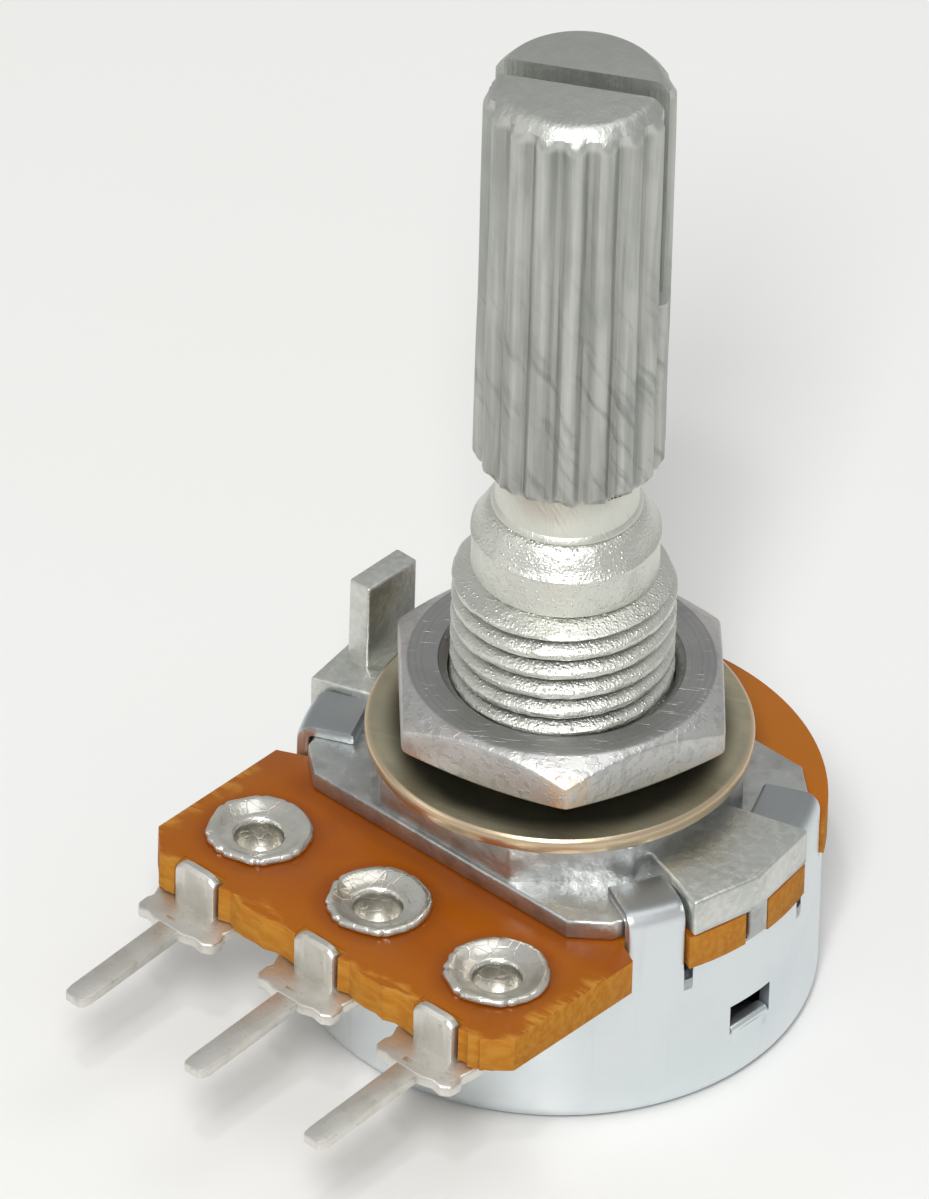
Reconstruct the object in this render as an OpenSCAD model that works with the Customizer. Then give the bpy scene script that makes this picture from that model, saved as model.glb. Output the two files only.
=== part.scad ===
// Rotary potentiometer, single gang, with a split and knurled metal shaft.
// Millimetres. The origin is the centre of the can's back face, on the shaft's axis.
// +Z runs up the shaft, out of the bushing. The row of terminals runs along X,
// and its pins point towards -Y.

/* [Can] */
// Outside diameter of the can
can_d = 16.5; // [16:0.1:20]
// Height of the can's rim over its back face
can_h = 5.45; // [5:0.05:7]
// Sheet thickness of the can and its lugs
can_t = 0.4; // [0.3:0.05:0.5]
// Outside radius of the drawn corner round the back face
can_corner = 0.6; // [0.5:0.1:1.2]
// Width of each fold-over lug
lug_w = 1.9; // [1.4:0.1:2.2]
// Angle between the X axis and each lug
lug_angle = 25.5; // [24:0.5:27]
// How far a folded lug reaches in over the front plate
lug_reach = 1.9; // [1.2:0.1:2]
// Width of the stop tab that is lanced inwards from the can's wall
stop_w = 1.7; // [1.2:0.1:2]
// Height of the stop tab's underside over the back face
stop_z = 1.6; // [1.5:0.1:1.8]

/* [Wafer] */
// How far the round part of the wafer stands out past the can
wafer_proud = 0.15; // [0:0.05:0.4]
// Thickness of the wafer
wafer_t = 1.3; // [1:0.1:1.6]
// Width of the ear past the outer eyelets' centres, on each side
ear_side = 2.5; // [2:0.1:3.5]
// Distance from the row of eyelets to the ear's free edge
ear_margin = 2.9; // [2.4:0.1:4]
// Diameter of the hole round the shaft
wafer_hole_d = 7.8; // [7.2:0.1:8]

/* [Terminals] */
// Spacing of the terminals
pitch = 5; // [4.6:0.05:5.4]
// How far the row of eyelets lies inside the can's outside
row_inset = 0.05; // [-0.5:0.05:0.3]
// Diameter of an eyelet's flared head
eyelet_head_d = 3.4; // [3:0.1:3.8]
// Diameter of the hole through an eyelet
eyelet_hole_d = 1.5; // [1.2:0.1:1.6]
// Sheet thickness of the terminals
terminal_t = 0.4; // [0.3:0.05:0.5]
// Width of a terminal under the ear
terminal_w = 3.2; // [2.8:0.1:3.6]
// Width of the tab that is bent up through the ear's edge
tab_w = 1.6; // [1.2:0.1:1.8]
// Width of a pin
pin_w = 0.85; // [0.6:0.05:1.1]
// Length of the pins past the ear's free edge
pin_l = 5.5; // [3:0.1:9]

/* [Front plate] */
// Thickness of the plate's floor over the wafer
floor_t = 0.7; // [0.6:0.05:1]
// Height of the side blocks over the wafer
block_h = 1.4; // [1.2:0.05:1.7]
// Height of the mounting face over the wafer
face_h = 2.05; // [1.8:0.05:2.4]
// How far the plate's flat edges lie inside the can's outside
flat_inset = 2.85; // [2.6:0.05:3.2]
// How far the eight-sided mounting face lies inside the plate's flat edges
face_inset = 0.15; // [0:0.05:0.5]
// Length of the mounting face's edges along X
face_edge = 5.4; // [4.4:0.1:6]
// Width of the locating lug
locator_w = 2.2; // [1.6:0.1:2.8]
// Thickness of the locating lug
locator_t = 0.85; // [0.6:0.05:1.2]
// Height of the locating lug over the mounting face
locator_h = 2.4; // [1.5:0.1:3]
// How far the middle of the locating lug lies inside the can's outside
locator_inset = 0.75; // [0.6:0.05:1.1]

/* [Bushing] */
// Outside diameter of the thread
thread_d = 7; // [6.4:0.1:7.6]
// Length of the bushing over the mounting face, with its nose
bushing_l = 8.2; // [6:0.1:11]
// Length of the plain nose past the thread
nose_l = 1.4; // [0.8:0.1:2]
// Diameter of the plain nose
nose_d = 5.86; // [5.4:0.02:6.1]
// Height of the rounded, swaged end over the nose
dome_h = 1; // [0.6:0.1:1.2]

/* [Shaft] */
// Diameter over the knurl
shaft_d = 6; // [5.6:0.1:6.4]
// Distance from the mounting face to the shaft's tip
shaft_l = 25.5; // [22:0.5:32]
// Length of the knurled end
knurl_l = 14.4; // [8:0.1:15.4]
// Number of grooves in the knurl
knurl_count = 18; // [12:1:24]
// Depth of a groove
knurl_depth = 0.28; // [0.15:0.01:0.35]
// Diameter of the stem that turns in the bushing
stem_d = 4.2; // [3.6:0.1:4.4]
// Width of the slot that splits the tip
slot_w = 0.8; // [0.6:0.1:1.2]
// Depth of the slot that splits the tip
slot_l = 8; // [5:0.5:12]
// Chamfer round the tip
tip_chamfer = 0.45; // [0.2:0.05:0.6]
// How far the shaft is turned from the middle of its travel
shaft_turn = -60; // [-150:1:150]

/* [Washer and nut] */
// Outside diameter of the flat washer
washer_d = 12.1; // [11:0.1:12.8]
// Thickness of the flat washer
washer_t = 0.55; // [0.3:0.05:0.8]
// Width across the nut's flats
nut_af = 10; // [9:0.1:11]
// Thickness of the nut
nut_t = 1.7; // [1.5:0.1:2.6]
// Gap between the washer and the nut, which is only part screwed down
nut_gap = 0.7; // [0:0.05:1.5]
// Angle of the nut about the bushing
nut_turn = -46; // [-60:1:60]

/* [Hidden] */
$fn = 64;

// Clearances
turn_gap = 0.03;   // radial gap of the stem in the bushing
thread_gap = 0.05; // radial gap of the nut on the thread
slide_gap = 0.1;   // gap round the lugs, the key and the washer
contact_gap = 0.02;

// Levels
wafer_top = can_h + wafer_t;
floor_top = wafer_top + floor_t;
block_top = wafer_top + block_h;
face_z = wafer_top + face_h;
thread_end = face_z + bushing_l - nose_l;
nose_end = face_z + bushing_l;
dome_end = nose_end + dome_h;
shaft_end = face_z + shaft_l;
knurl_start = shaft_end - knurl_l;
washer_top = face_z + washer_t;
nut_z = washer_top + nut_gap;

// Radii and distances from the axis
can_r = can_d / 2;
can_in = can_r - can_t;
wafer_r = can_r + wafer_proud;
flat_y = can_r - flat_inset;
face_y = flat_y - face_inset;
locator_r = can_r - locator_inset;
eyelet_row = can_r - row_inset;
ear_reach = eyelet_row + ear_margin;
pin_reach = ear_reach + pin_l;
ear_half = pitch + ear_side;
stem_r = stem_d / 2;
groove_r = stem_r - 0.45;

// Places of the lugs, round the axis
lug_angles = [-lug_angle, lug_angle, 180 - lug_angle, 180 + lug_angle];

// Side blocks of the front plate: their outer points and angular half width
block_out = wafer_r + 0.1;
block_half = lug_angle - asin((lug_w / 2 + 0.15) / can_r);
key_w = 0.8;
key_t = 0.5;

// Rotor, wiper and stops
rotor_r = can_in - 1.85;
rotor_bottom = stop_z - 0.3;
rotor_top = can_h - 1.25;
hub_r = stem_r + 1.1;
stop_in = rotor_r + 0.4;
travel_half = 150;
stop_half = 180 - travel_half - asin(stop_w / 2 / stop_in) - 0.4;
wiper_t = 0.15;
peg_r = 0.35;
peg_angles = [-40, 40]; // from the side away from the contacts
peg_at = hub_r + 1;

// Stem: the neck over the bushing, the drive for the rotor, and the ring's groove
neck_r = stem_r - 0.2;
drive_r = stem_r - 0.1;
drive_top = rotor_top + 0.2;
flat_depth = 0.5;
ring_t = 0.5;
ring_drop = ring_t + 0.25; // the groove's floor lies this far under the plate

// Printed tracks under the wafer
print_t = 0.05;
print_z = can_h - print_t;
track_in = rotor_r - 0.2;
track_out = track_in + 1.1;
ring_in = wafer_hole_d / 2 + 0.3;
ring_out = ring_in + 0.8;
terminal_in = eyelet_row - 1.65;

function at(r, a) = [r * cos(a), r * sin(a)];

// Ring about the axis, from z to z + h
module ring(r_out, r_in, z, h) {
    translate([0, 0, z]) difference() {
        cylinder(r = r_out, h = h);
        translate([0, 0, -1]) cylinder(r = r_in, h = h + 2);
    }
}

// Part of a ring between two angles
module ring_part(r_out, r_in, z, h, from, to) {
    translate([0, 0, z]) rotate([0, 0, from])
        rotate_extrude(angle = to - from) translate([r_in, 0]) square([r_out - r_in, h]);
}

// ---- Can ----

// One lug: it stands up from the rim and folds in over the plate's floor
module can_lug() {
    bend = can_t + 0.15;
    top = floor_top + can_t;
    rotate([90, 0, 0]) translate([0, 0, -lug_w / 2]) linear_extrude(lug_w) union() {
        translate([can_in, can_h - 0.6]) square([can_t, top - bend - can_h + 0.6]);
        translate([can_r - lug_reach, floor_top]) square([lug_reach - bend, can_t]);
        intersection() {
            translate([can_r - bend, top - bend]) difference() {
                circle(r = bend);
                circle(r = bend - can_t);
            }
            translate([can_r - bend, top - bend]) square(bend);
        }
    }
}

module rear_can() {
    gap_to = -lug_angle - 17;
    gap_from = -180 - gap_to;
    color([0.78, 0.81, 0.83]) union() {
        difference() {
            rotate_extrude() difference() {
                union() {
                    translate([0, can_corner]) square([can_r, can_h - can_corner]);
                    square([can_r - can_corner, can_corner]);
                    translate([can_r - can_corner, can_corner]) circle(r = can_corner);
                }
                translate([0, can_t]) union() {
                    translate([0, can_corner - can_t]) square([can_in, can_h]);
                    square([can_r - can_corner, can_h]);
                    translate([can_r - can_corner, can_corner - can_t]) circle(r = can_corner - can_t);
                }
                translate([-can_d, -1]) square([can_d, can_h + 2]);
            }
            // the wall is lower under the terminals
            ring_part(can_r + 1, can_in - 1, can_h - 1.15, 2, gap_from, gap_to);
            // window that the stop tab is lanced from
            translate([can_in - 1, -stop_w / 2 - 0.05, stop_z + can_t]) cube([2, stop_w + 0.1, 1.1]);
        }
        // stop tab, bent in from the window's lower edge
        translate([stop_in, -stop_w / 2, stop_z]) cube([can_r - stop_in - 0.15, stop_w, can_t]);
        for (a = lug_angles) rotate([0, 0, a]) can_lug();
    }
}

// ---- Wafer and its printed tracks ----

module wafer_outline() {
    corner = 1;
    slant = 1.45;
    shoulder_y = eyelet_row - 3;
    difference() {
        union() {
            circle(r = wafer_r);
            polygon([
                [-ear_half, -shoulder_y], [-ear_half, -ear_reach + corner],
                [-ear_half + corner, -ear_reach], [ear_half - corner, -ear_reach],
                [ear_half, -ear_reach + corner], [ear_half, -shoulder_y],
                [ear_half - shoulder_y / 2, 0], [-ear_half + shoulder_y / 2, 0]
            ]);
        }
        circle(d = wafer_hole_d);
        for (a = lug_angles) rotate(a)
            translate([can_in - slide_gap, -lug_w / 2 - slide_gap]) square([4, lug_w + 2 * slide_gap]);
        // the front lugs' notches run out along a slant to the ear's corners
        for (m = [0, 1]) mirror([m, 0]) polygon([
            [ear_half - slant, -shoulder_y + slant], [ear_half, -shoulder_y], [ear_half + 3, -shoulder_y],
            at(wafer_r + 2, -lug_angle - 1), at(can_in - slide_gap, -lug_angle - 1)
        ]);
        // notches for the front plate's keys
        for (a = [0, 180]) rotate(a)
            translate([wafer_r - key_t - slide_gap, -key_w / 2 - slide_gap])
                square([2, key_w + 2 * slide_gap]);
        for (x = [-pitch, 0, pitch]) translate([x, 0]) {
            translate([0, -eyelet_row]) circle(d = eyelet_hole_d + 0.7);
            translate([-tab_w / 2 - slide_gap, -ear_reach - 1])
                square([tab_w + 2 * slide_gap, 1 + terminal_t + slide_gap]);
        }
    }
}

module wafer() {
    color([0.66, 0.34, 0.07]) translate([0, 0, can_h]) linear_extrude(wafer_t) wafer_outline();
}

module resistive_track() {
    color([0.08, 0.08, 0.09])
        ring_part(track_out, track_in, print_z, print_t, 90 - travel_half, 90 + travel_half);
}

// Silver pad from one end of the track to its terminal; side is -1 or 1
module track_pad(side) {
    end = 90 - travel_half;
    inner = pitch + terminal_w / 2;
    outer_end = at(track_out, end);
    color([0.72, 0.72, 0.7]) translate([0, 0, print_z]) linear_extrude(print_t)
        mirror([side < 0 ? 1 : 0, 0]) polygon([
            at(track_in, end), outer_end, [inner, -terminal_in + 0.35],
            [inner, -terminal_in], [outer_end[0] - 0.1, -terminal_in]
        ]);
}
module track_pad_left() { track_pad(-1); }
module track_pad_right() { track_pad(1); }

module collector_ring() {
    color([0.72, 0.72, 0.7]) union() {
        ring(ring_out, ring_in, print_z, print_t);
        translate([-0.6, -terminal_in, print_z]) cube([1.2, terminal_in - ring_in - 0.1, print_t]);
    }
}

// ---- Terminals and eyelets ----

module terminal(x) {
    low = can_h - terminal_t;
    step = 0.3; // the pin lies this much below the flat part
    bar = 1.1;  // the crossbar shows this much past the ear
    color([0.8, 0.79, 0.75]) translate([x, 0, 0]) union() {
        difference() {
            translate([-terminal_w / 2, -ear_reach - bar, low])
                cube([terminal_w, ear_reach + bar - terminal_in, terminal_t]);
            translate([0, -eyelet_row, low - 1]) cylinder(d = eyelet_hole_d + 0.7, h = 3);
        }
        // tab, up through the notch in the ear's edge
        translate([-tab_w / 2, -ear_reach, low]) cube([tab_w, terminal_t, wafer_t + terminal_t + 0.2]);
        // pin with a rounded tip
        translate([0, 0, low - step]) linear_extrude(terminal_t) union() {
            translate([-pin_w / 2, -pin_reach + pin_w / 2])
                square([pin_w, pin_reach - ear_reach - bar - pin_w / 2 + 0.3]);
            translate([0, -pin_reach + pin_w / 2]) circle(d = pin_w);
        }
    }
}
module terminal_left() { terminal(-pitch); }
module terminal_middle() { terminal(0); }
module terminal_right() { terminal(pitch); }

module eyelet(x) {
    r = eyelet_hole_d / 2;
    head = eyelet_head_d / 2;
    low = can_h - terminal_t;
    barrel = r + 0.3;
    color([0.75, 0.75, 0.72]) translate([x, -eyelet_row, 0]) rotate_extrude() polygon([
        [r, low - 0.2], [head - 0.15, low - 0.2], [head - 0.15, low], [barrel, low],
        [barrel, wafer_top], [head, wafer_top], [head, wafer_top + 0.12], [head - 0.35, wafer_top + 0.3],
        [r + 0.5, wafer_top + 0.22], [r + 0.1, wafer_top], [r, wafer_top - 0.3]
    ]);
}
module eyelet_left() { eyelet(-pitch); }
module eyelet_middle() { eyelet(0); }
module eyelet_right() { eyelet(pitch); }

// ---- Front plate, cast in one piece with the bushing and the locating lug ----

// Half of the plate's outline, on the +X side; front and back are alike
module plate_half() {
    wing = can_in - slide_gap;
    corner = flat_y - 0.1;
    polygon([
        [0, -flat_y], [corner, -flat_y], [corner + 1.1, -flat_y + 0.9], at(wing, -lug_angle - 8),
        at(wing, -lug_angle), at(wing, lug_angle), at(wing, lug_angle + 8),
        [corner + 1.1, flat_y - 0.9], [corner, flat_y], [0, flat_y]
    ]);
}

module mounting_face() {
    edge = face_edge / 2;
    side = face_y + edge;
    polygon([
        [-edge, -face_y], [edge, -face_y], [side - 2.5, -2.5], [side - 2.5, 2.5], [edge, face_y],
        [-edge, face_y], [2.5 - side, 2.5], [2.5 - side, -2.5]
    ]);
}

module side_block() {
    inner = face_y;
    polygon([
        at(inner, -block_half), at(block_out, -block_half), [block_out + 0.06, -0.2],
        at(block_out, block_half), at(inner, block_half)
    ]);
}

module bushing_profile() {
    r = thread_d / 2;
    nose = nose_d / 2;
    chamfer = r - nose;
    lip = stem_r + turn_gap;
    translate([lip, face_z - 0.5]) square([r - lip, thread_end - face_z + 0.5 - chamfer]);
    polygon([
        [lip, thread_end - chamfer], [r, thread_end - chamfer], [nose - 0.1, thread_end],
        [nose - 0.1, thread_end + 0.15], [nose, thread_end + 0.3], [nose, nose_end],
        [nose - 0.12, nose_end + 0.1], [nose - 0.25, nose_end + dome_h * 0.45],
        [nose - 0.45, nose_end + dome_h * 0.85], [lip + 0.1, dome_end], [lip, dome_end]
    ]);
}

module front_plate() {
    color([0.68, 0.69, 0.7]) difference() {
        union() {
            translate([0, 0, wafer_top]) linear_extrude(floor_t) union() {
                plate_half();
                mirror([1, 0]) plate_half();
            }
            translate([0, 0, wafer_top]) linear_extrude(face_h) mounting_face();
            // side blocks, each with a key down over the wafer's edge
            for (a = [0, 180]) rotate([0, 0, a]) {
                translate([0, 0, wafer_top]) linear_extrude(block_h) side_block();
                translate([wafer_r - key_t, -key_w / 2, can_h + 0.15])
                    cube([key_t + 0.06, key_w, wafer_t + 0.2]);
            }
            // locating lug
            translate([-locator_r - locator_t / 2, -locator_w / 2, wafer_top])
                cube([locator_t, locator_w, face_h + locator_h]);
            rotate_extrude() bushing_profile();
        }
        // the shaft's hole, right through
        translate([0, 0, wafer_top - 1]) cylinder(r = stem_r + turn_gap, h = dome_end);
        // pockets for the can's lugs
        for (a = lug_angles) rotate([0, 0, a]) {
            translate([can_in - slide_gap, -lug_w / 2 - slide_gap, wafer_top - 1])
                cube([4, lug_w + 2 * slide_gap, face_h + 2]);
            translate([can_r - lug_reach - slide_gap, -lug_w / 2 - slide_gap, floor_top])
                cube([4, lug_w + 2 * slide_gap, face_h + 2]);
        }
    }
}

// ---- Shaft and what turns with it ----

module shaft() {
    r = shaft_d / 2;
    ring_z = wafer_top - ring_drop;
    undercut = 0.25;
    groove_half = knurl_depth * 0.85;
    head_z = rotor_bottom - 0.4; // the stem's end is upset under the rotor
    color([0.72, 0.72, 0.7]) rotate([0, 0, shaft_turn]) difference() {
        rotate_extrude() polygon([
            [0, head_z], [stem_r + 0.05, head_z], [stem_r + 0.05, rotor_bottom],
            [drive_r, rotor_bottom], [drive_r, drive_top], [stem_r, drive_top],
            [stem_r, ring_z], [groove_r, ring_z], [groove_r, ring_z + ring_t + contact_gap],
            [stem_r, ring_z + ring_t + contact_gap],
            [stem_r, dome_end + 0.3], [neck_r, dome_end + 0.6], [neck_r, knurl_start - 0.2],
            [r - undercut, knurl_start], [r, knurl_start + undercut],
            [r, shaft_end - tip_chamfer * 1.3], [r - tip_chamfer, shaft_end], [0, shaft_end]
        ]);
        // knurl
        for (i = [0:knurl_count - 1]) rotate([0, 0, (i + 0.5) * 360 / knurl_count])
            translate([r - knurl_depth, 0, knurl_start - 1]) linear_extrude(knurl_l + 2)
                polygon([[0, 0], 2 * [knurl_depth, groove_half], 2 * [knurl_depth, -groove_half]]);
        // the slot lies along Y at the middle of the travel
        translate([-slot_w / 2, -r - 1, shaft_end - slot_l]) cube([slot_w, 2 * r + 2, slot_l + 1]);
        // flats that drive the rotor
        for (s = [0, 180]) rotate([0, 0, s])
            translate([stem_r - flat_depth, -r, rotor_bottom]) cube([r, 2 * r, drive_top - rotor_bottom]);
    }
}

module retaining_ring() {
    z = wafer_top - ring_drop + contact_gap / 2;
    gap = 2.6; // the ring is open by this much, so that it snaps on from the side
    color([0.55, 0.55, 0.56]) rotate([0, 0, shaft_turn]) difference() {
        ring(groove_r + 1.5, groove_r + contact_gap, z, ring_t);
        translate([0, -gap / 2, z - 1]) cube([can_r, gap, ring_t + 2]);
    }
}

module thrust_washer() {
    t = 0.2;
    color([0.85, 0.85, 0.82]) ring(groove_r + 1.6, stem_r + turn_gap, wafer_top - t - contact_gap, t);
}

module rotor() {
    arm = 180 + shaft_turn;
    height = rotor_top - rotor_bottom;
    color([0.12, 0.12, 0.13]) difference() {
        union() {
            translate([0, 0, rotor_bottom]) cylinder(r = hub_r, h = height);
            translate([0, 0, rotor_top - 1.5]) cylinder(r = rotor_r, h = 1.5);
            ring_part(can_in - 0.4, rotor_r - 1, rotor_bottom, height, arm - stop_half, arm + stop_half);
            // two pegs that hold the wiper
            for (s = peg_angles) rotate([0, 0, 90 + 180 + shaft_turn + s])
                translate([peg_at, 0, rotor_top - 0.5]) cylinder(r = peg_r, h = 0.7 + wiper_t);
        }
        rotate([0, 0, shaft_turn]) difference() {
            translate([0, 0, rotor_bottom - 1]) cylinder(r = drive_r + contact_gap, h = height + 2);
            for (s = [0, 180]) rotate([0, 0, s])
                translate([stem_r - flat_depth + contact_gap, -rotor_r, rotor_bottom - 2])
                    cube([rotor_r, 2 * rotor_r, height + 4]);
        }
    }
}

// Sprung contact: it leans up to a track at radius r; the strip is w wide
module contact(r, w) {
    rise = print_z - contact_gap - rotor_top;
    run = 2.2;
    translate([r + w / 2, 0, 0]) rotate([90, 0, -90]) linear_extrude(w) polygon([
        [-run, rotor_top], [-run, rotor_top + wiper_t], [-0.35, rotor_top + rise - 0.05],
        [0, rotor_top + rise], [0.35, rotor_top + rise - 0.15], [0.3, rotor_top + rise - 0.28],
        [0, rotor_top + rise - wiper_t], [-0.3, rotor_top + rise - wiper_t - 0.05],
        [-run + 0.4, rotor_top]
    ]);
}

module wiper() {
    color([0.72, 0.5, 0.28]) rotate([0, 0, 90 + shaft_turn]) difference() {
        union() {
            ring(rotor_r - 0.3, hub_r + 0.2, rotor_top, wiper_t);
            for (r = [track_in + 0.35, track_out - 0.25, (ring_in + ring_out) / 2]) contact(r, 0.35);
            translate([track_in - 0.6, 1.7, rotor_top]) cube([track_out - track_in + 0.5, 0.8, wiper_t]);
        }
        for (s = peg_angles) rotate([0, 0, 180 + s])
            translate([peg_at, 0, rotor_top - 1]) cylinder(r = peg_r + contact_gap, h = 3);
    }
}

// ---- Mounting hardware ----

module flat_washer() {
    color([0.66, 0.63, 0.53]) ring(washer_d / 2, thread_d / 2 + slide_gap, face_z, washer_t);
}

module hex_nut() {
    corner_r = nut_af / 2 / cos(30);
    bore_r = thread_d / 2 + thread_gap;
    chamfer = corner_r - nut_af / 2 + 0.1;
    color([0.7, 0.71, 0.71]) translate([0, 0, nut_z]) rotate([0, 0, nut_turn]) difference() {
        intersection() {
            cylinder(r = corner_r, h = nut_t, $fn = 6);
            rotate_extrude() polygon([
                [0, 0], [corner_r, 0], [corner_r, nut_t - chamfer * 0.6],
                [corner_r - chamfer, nut_t], [0, nut_t]
            ]);
        }
        translate([0, 0, -1]) cylinder(r = bore_r, h = nut_t + 2);
    }
}

rear_can();
wafer();
resistive_track();
track_pad_left();
track_pad_right();
collector_ring();
terminal_left();
terminal_middle();
terminal_right();
eyelet_left();
eyelet_middle();
eyelet_right();
front_plate();
shaft();
retaining_ring();
thrust_washer();
rotor();
wiper();
flat_washer();
hex_nut();
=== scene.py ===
"""Looks of a single-gang rotary potentiometer with a split, knurled shaft.

Every piece is made in millimetres round the shaft's axis and written out in metres.
"""

import math

import bmesh
import bpy
from bpy.props import FloatProperty, FloatVectorProperty, IntProperty, PointerProperty
from mathutils import Matrix, Vector, noise


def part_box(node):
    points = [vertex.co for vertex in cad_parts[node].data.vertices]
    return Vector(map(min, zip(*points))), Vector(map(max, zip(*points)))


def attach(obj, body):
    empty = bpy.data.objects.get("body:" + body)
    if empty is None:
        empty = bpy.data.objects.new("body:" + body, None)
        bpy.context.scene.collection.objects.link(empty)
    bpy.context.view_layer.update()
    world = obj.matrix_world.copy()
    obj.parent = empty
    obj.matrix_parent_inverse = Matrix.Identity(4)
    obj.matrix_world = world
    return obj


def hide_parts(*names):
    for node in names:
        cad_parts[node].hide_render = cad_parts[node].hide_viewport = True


bl_info = {
    "name": "Rotary potentiometer",
    "version": (1, 0, 0),
    "blender": (4, 5, 0),
    "location": "3D View > Sidebar > Potentiometer",
    "description": "Models the visible pieces of a rotary potentiometer and its finishes",
    "category": "Object",
}

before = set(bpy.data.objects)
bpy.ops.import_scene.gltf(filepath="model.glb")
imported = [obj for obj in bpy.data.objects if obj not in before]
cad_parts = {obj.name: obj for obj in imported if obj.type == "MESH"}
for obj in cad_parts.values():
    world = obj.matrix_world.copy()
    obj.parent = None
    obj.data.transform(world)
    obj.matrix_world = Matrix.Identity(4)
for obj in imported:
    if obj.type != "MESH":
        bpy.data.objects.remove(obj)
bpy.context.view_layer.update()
MM = 0.001


def box_mm(node):
    """Lowest and highest corner of a CAD node, in millimetres."""
    low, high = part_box(node)
    return low / MM, high / MM


CAN_LOW, CAN_HIGH = box_mm("rear_can")
BOARD_LOW, BOARD_HIGH = box_mm("wafer")
PLATE_LOW, PLATE_HIGH = box_mm("front_plate")
SHAFT_LOW, SHAFT_HIGH = box_mm("shaft")
WASHER_LOW, WASHER_HIGH = box_mm("flat_washer")
NUT_LOW, NUT_HIGH = box_mm("hex_nut")
EYELET_LOW, EYELET_HIGH = box_mm("eyelet_middle")
TERMINAL_LOW, TERMINAL_HIGH = box_mm("terminal_middle")

CAN_R = CAN_HIGH.x
BOARD_TOP = BOARD_HIGH.z
FACE_Z = WASHER_LOW.z
EYELET_ROW = (EYELET_LOW.y + EYELET_HIGH.y) / 2
PITCH = sum(corner.x for corner in box_mm("eyelet_right")) / 2
THREAD_R = 3.5
KNURL_R = 3.0
LUG_WIDTH = 1.9
LUG_ANGLE = 25.5
LUG_ANGLES = (-LUG_ANGLE, LUG_ANGLE, 180 - LUG_ANGLE, 180 + LUG_ANGLE)
# keeps the torn edge of the board and the rough castings the same each run
NOISE_SEED = 1795151150


# ---- Settings ----


def length(name, description, default):
    """A length setting; default is in millimetres."""
    return FloatProperty(name=name, description=description, default=default * MM, unit="LENGTH", precision=5)


def colour(name, description, default):
    """A colour setting."""
    return FloatVectorProperty(
        name=name, description=description, default=default, subtype="COLOR", size=3, min=0, max=1
    )


class CanSettings(bpy.types.PropertyGroup):
    radius: length("Radius", "Outside radius of the can", CAN_R)
    rim: length("Rim height", "Height of the rim over the back face", BOARD_LOW.z)
    sheet: length("Sheet", "Thickness of the can's sheet", 0.4)
    corner: length("Corner", "Outside radius of the drawn corner", 0.6)
    lug_width: length("Lug width", "Width of a fold-over lug", LUG_WIDTH)
    lug_reach: length("Lug reach", "How far a lug folds in over the plate", 1.9)
    lug_top: length("Lug top", "Height of the folded lugs", CAN_HIGH.z)
    zinc: colour("Zinc", "Colour of the zinc plating", (0.75, 0.785, 0.805))


class BoardSettings(bpy.types.PropertyGroup):
    top: length("Top", "Height of the board's upper side", BOARD_TOP)
    bottom: length("Bottom", "Height of the board's lower side", BOARD_LOW.z)
    radius: length("Radius", "Radius of the round part", BOARD_HIGH.x)
    ear_half: length("Ear half width", "Half the width of the ear", 7.5)
    ear_end: length("Ear reach", "Distance of the ear's free edge from the axis", -BOARD_LOW.y)
    resin: colour("Resin", "Colour of the resin-bonded paper", (0.315, 0.077, 0.0009))
    fibre: colour("Fibre", "Colour of the bare fibres along the cut edges", (0.52, 0.25, 0.035))


class TerminalSettings(bpy.types.PropertyGroup):
    sheet: length("Sheet", "Thickness of the terminals", 0.4)
    bar: length("Bar width", "Width of the crossbar", 3.2)
    tab: length("Tab width", "Width of the tab through the board's edge", 1.6)
    pin: length("Pin width", "Width of a pin", 0.85)
    head: length("Eyelet radius", "Radius of an eyelet's flared head", EYELET_HIGH.x)
    bore: length("Eyelet bore", "Radius of the hole through an eyelet", 0.75)
    tin: colour("Tin", "Colour of the tinned terminals", (0.70, 0.685, 0.635))


class PlateSettings(bpy.types.PropertyGroup):
    floor: length("Floor height", "Height of the plate's floor", 7.45)
    blocks: length("Block height", "Height of the side blocks", 8.15)
    face: length("Face height", "Height of the mounting face", FACE_Z)
    flat: length("Flat edge", "Distance of the plate's flat edges from the axis", 5.4)
    thread: length("Thread radius", "Outside radius of the thread", THREAD_R)
    thread_pitch: length("Thread pitch", "Rise of the thread in one turn", 0.75)
    nose: length("Nose radius", "Radius of the plain nose", 2.93)
    top: length("Top", "Height of the swaged end of the bushing", PLATE_HIGH.z)
    zinc: colour("Cast zinc", "Colour of the casting", (0.54, 0.55, 0.545))


class ShaftSettings(bpy.types.PropertyGroup):
    radius: length("Radius", "Radius over the knurl", KNURL_R)
    tip: length("Tip", "Height of the shaft's tip", SHAFT_HIGH.z)
    knurl: length("Knurl length", "Length of the knurled end", 14.4)
    grooves: IntProperty(name="Grooves", description="Grooves round the knurl", default=18, min=6, max=40)
    groove: length("Groove depth", "Depth of a groove", 0.28)
    slot: length("Slot width", "Width of the slot that splits the tip", 0.8)
    slot_depth: length("Slot depth", "Depth of the slot that splits the tip", 8.0)
    turn: FloatProperty(
        name="Turn", description="Angle of the slot from the Y axis", default=math.radians(-60), subtype="ANGLE"
    )
    metal: colour("Metal", "Colour of the drawn metal", (0.455, 0.465, 0.44))


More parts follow.
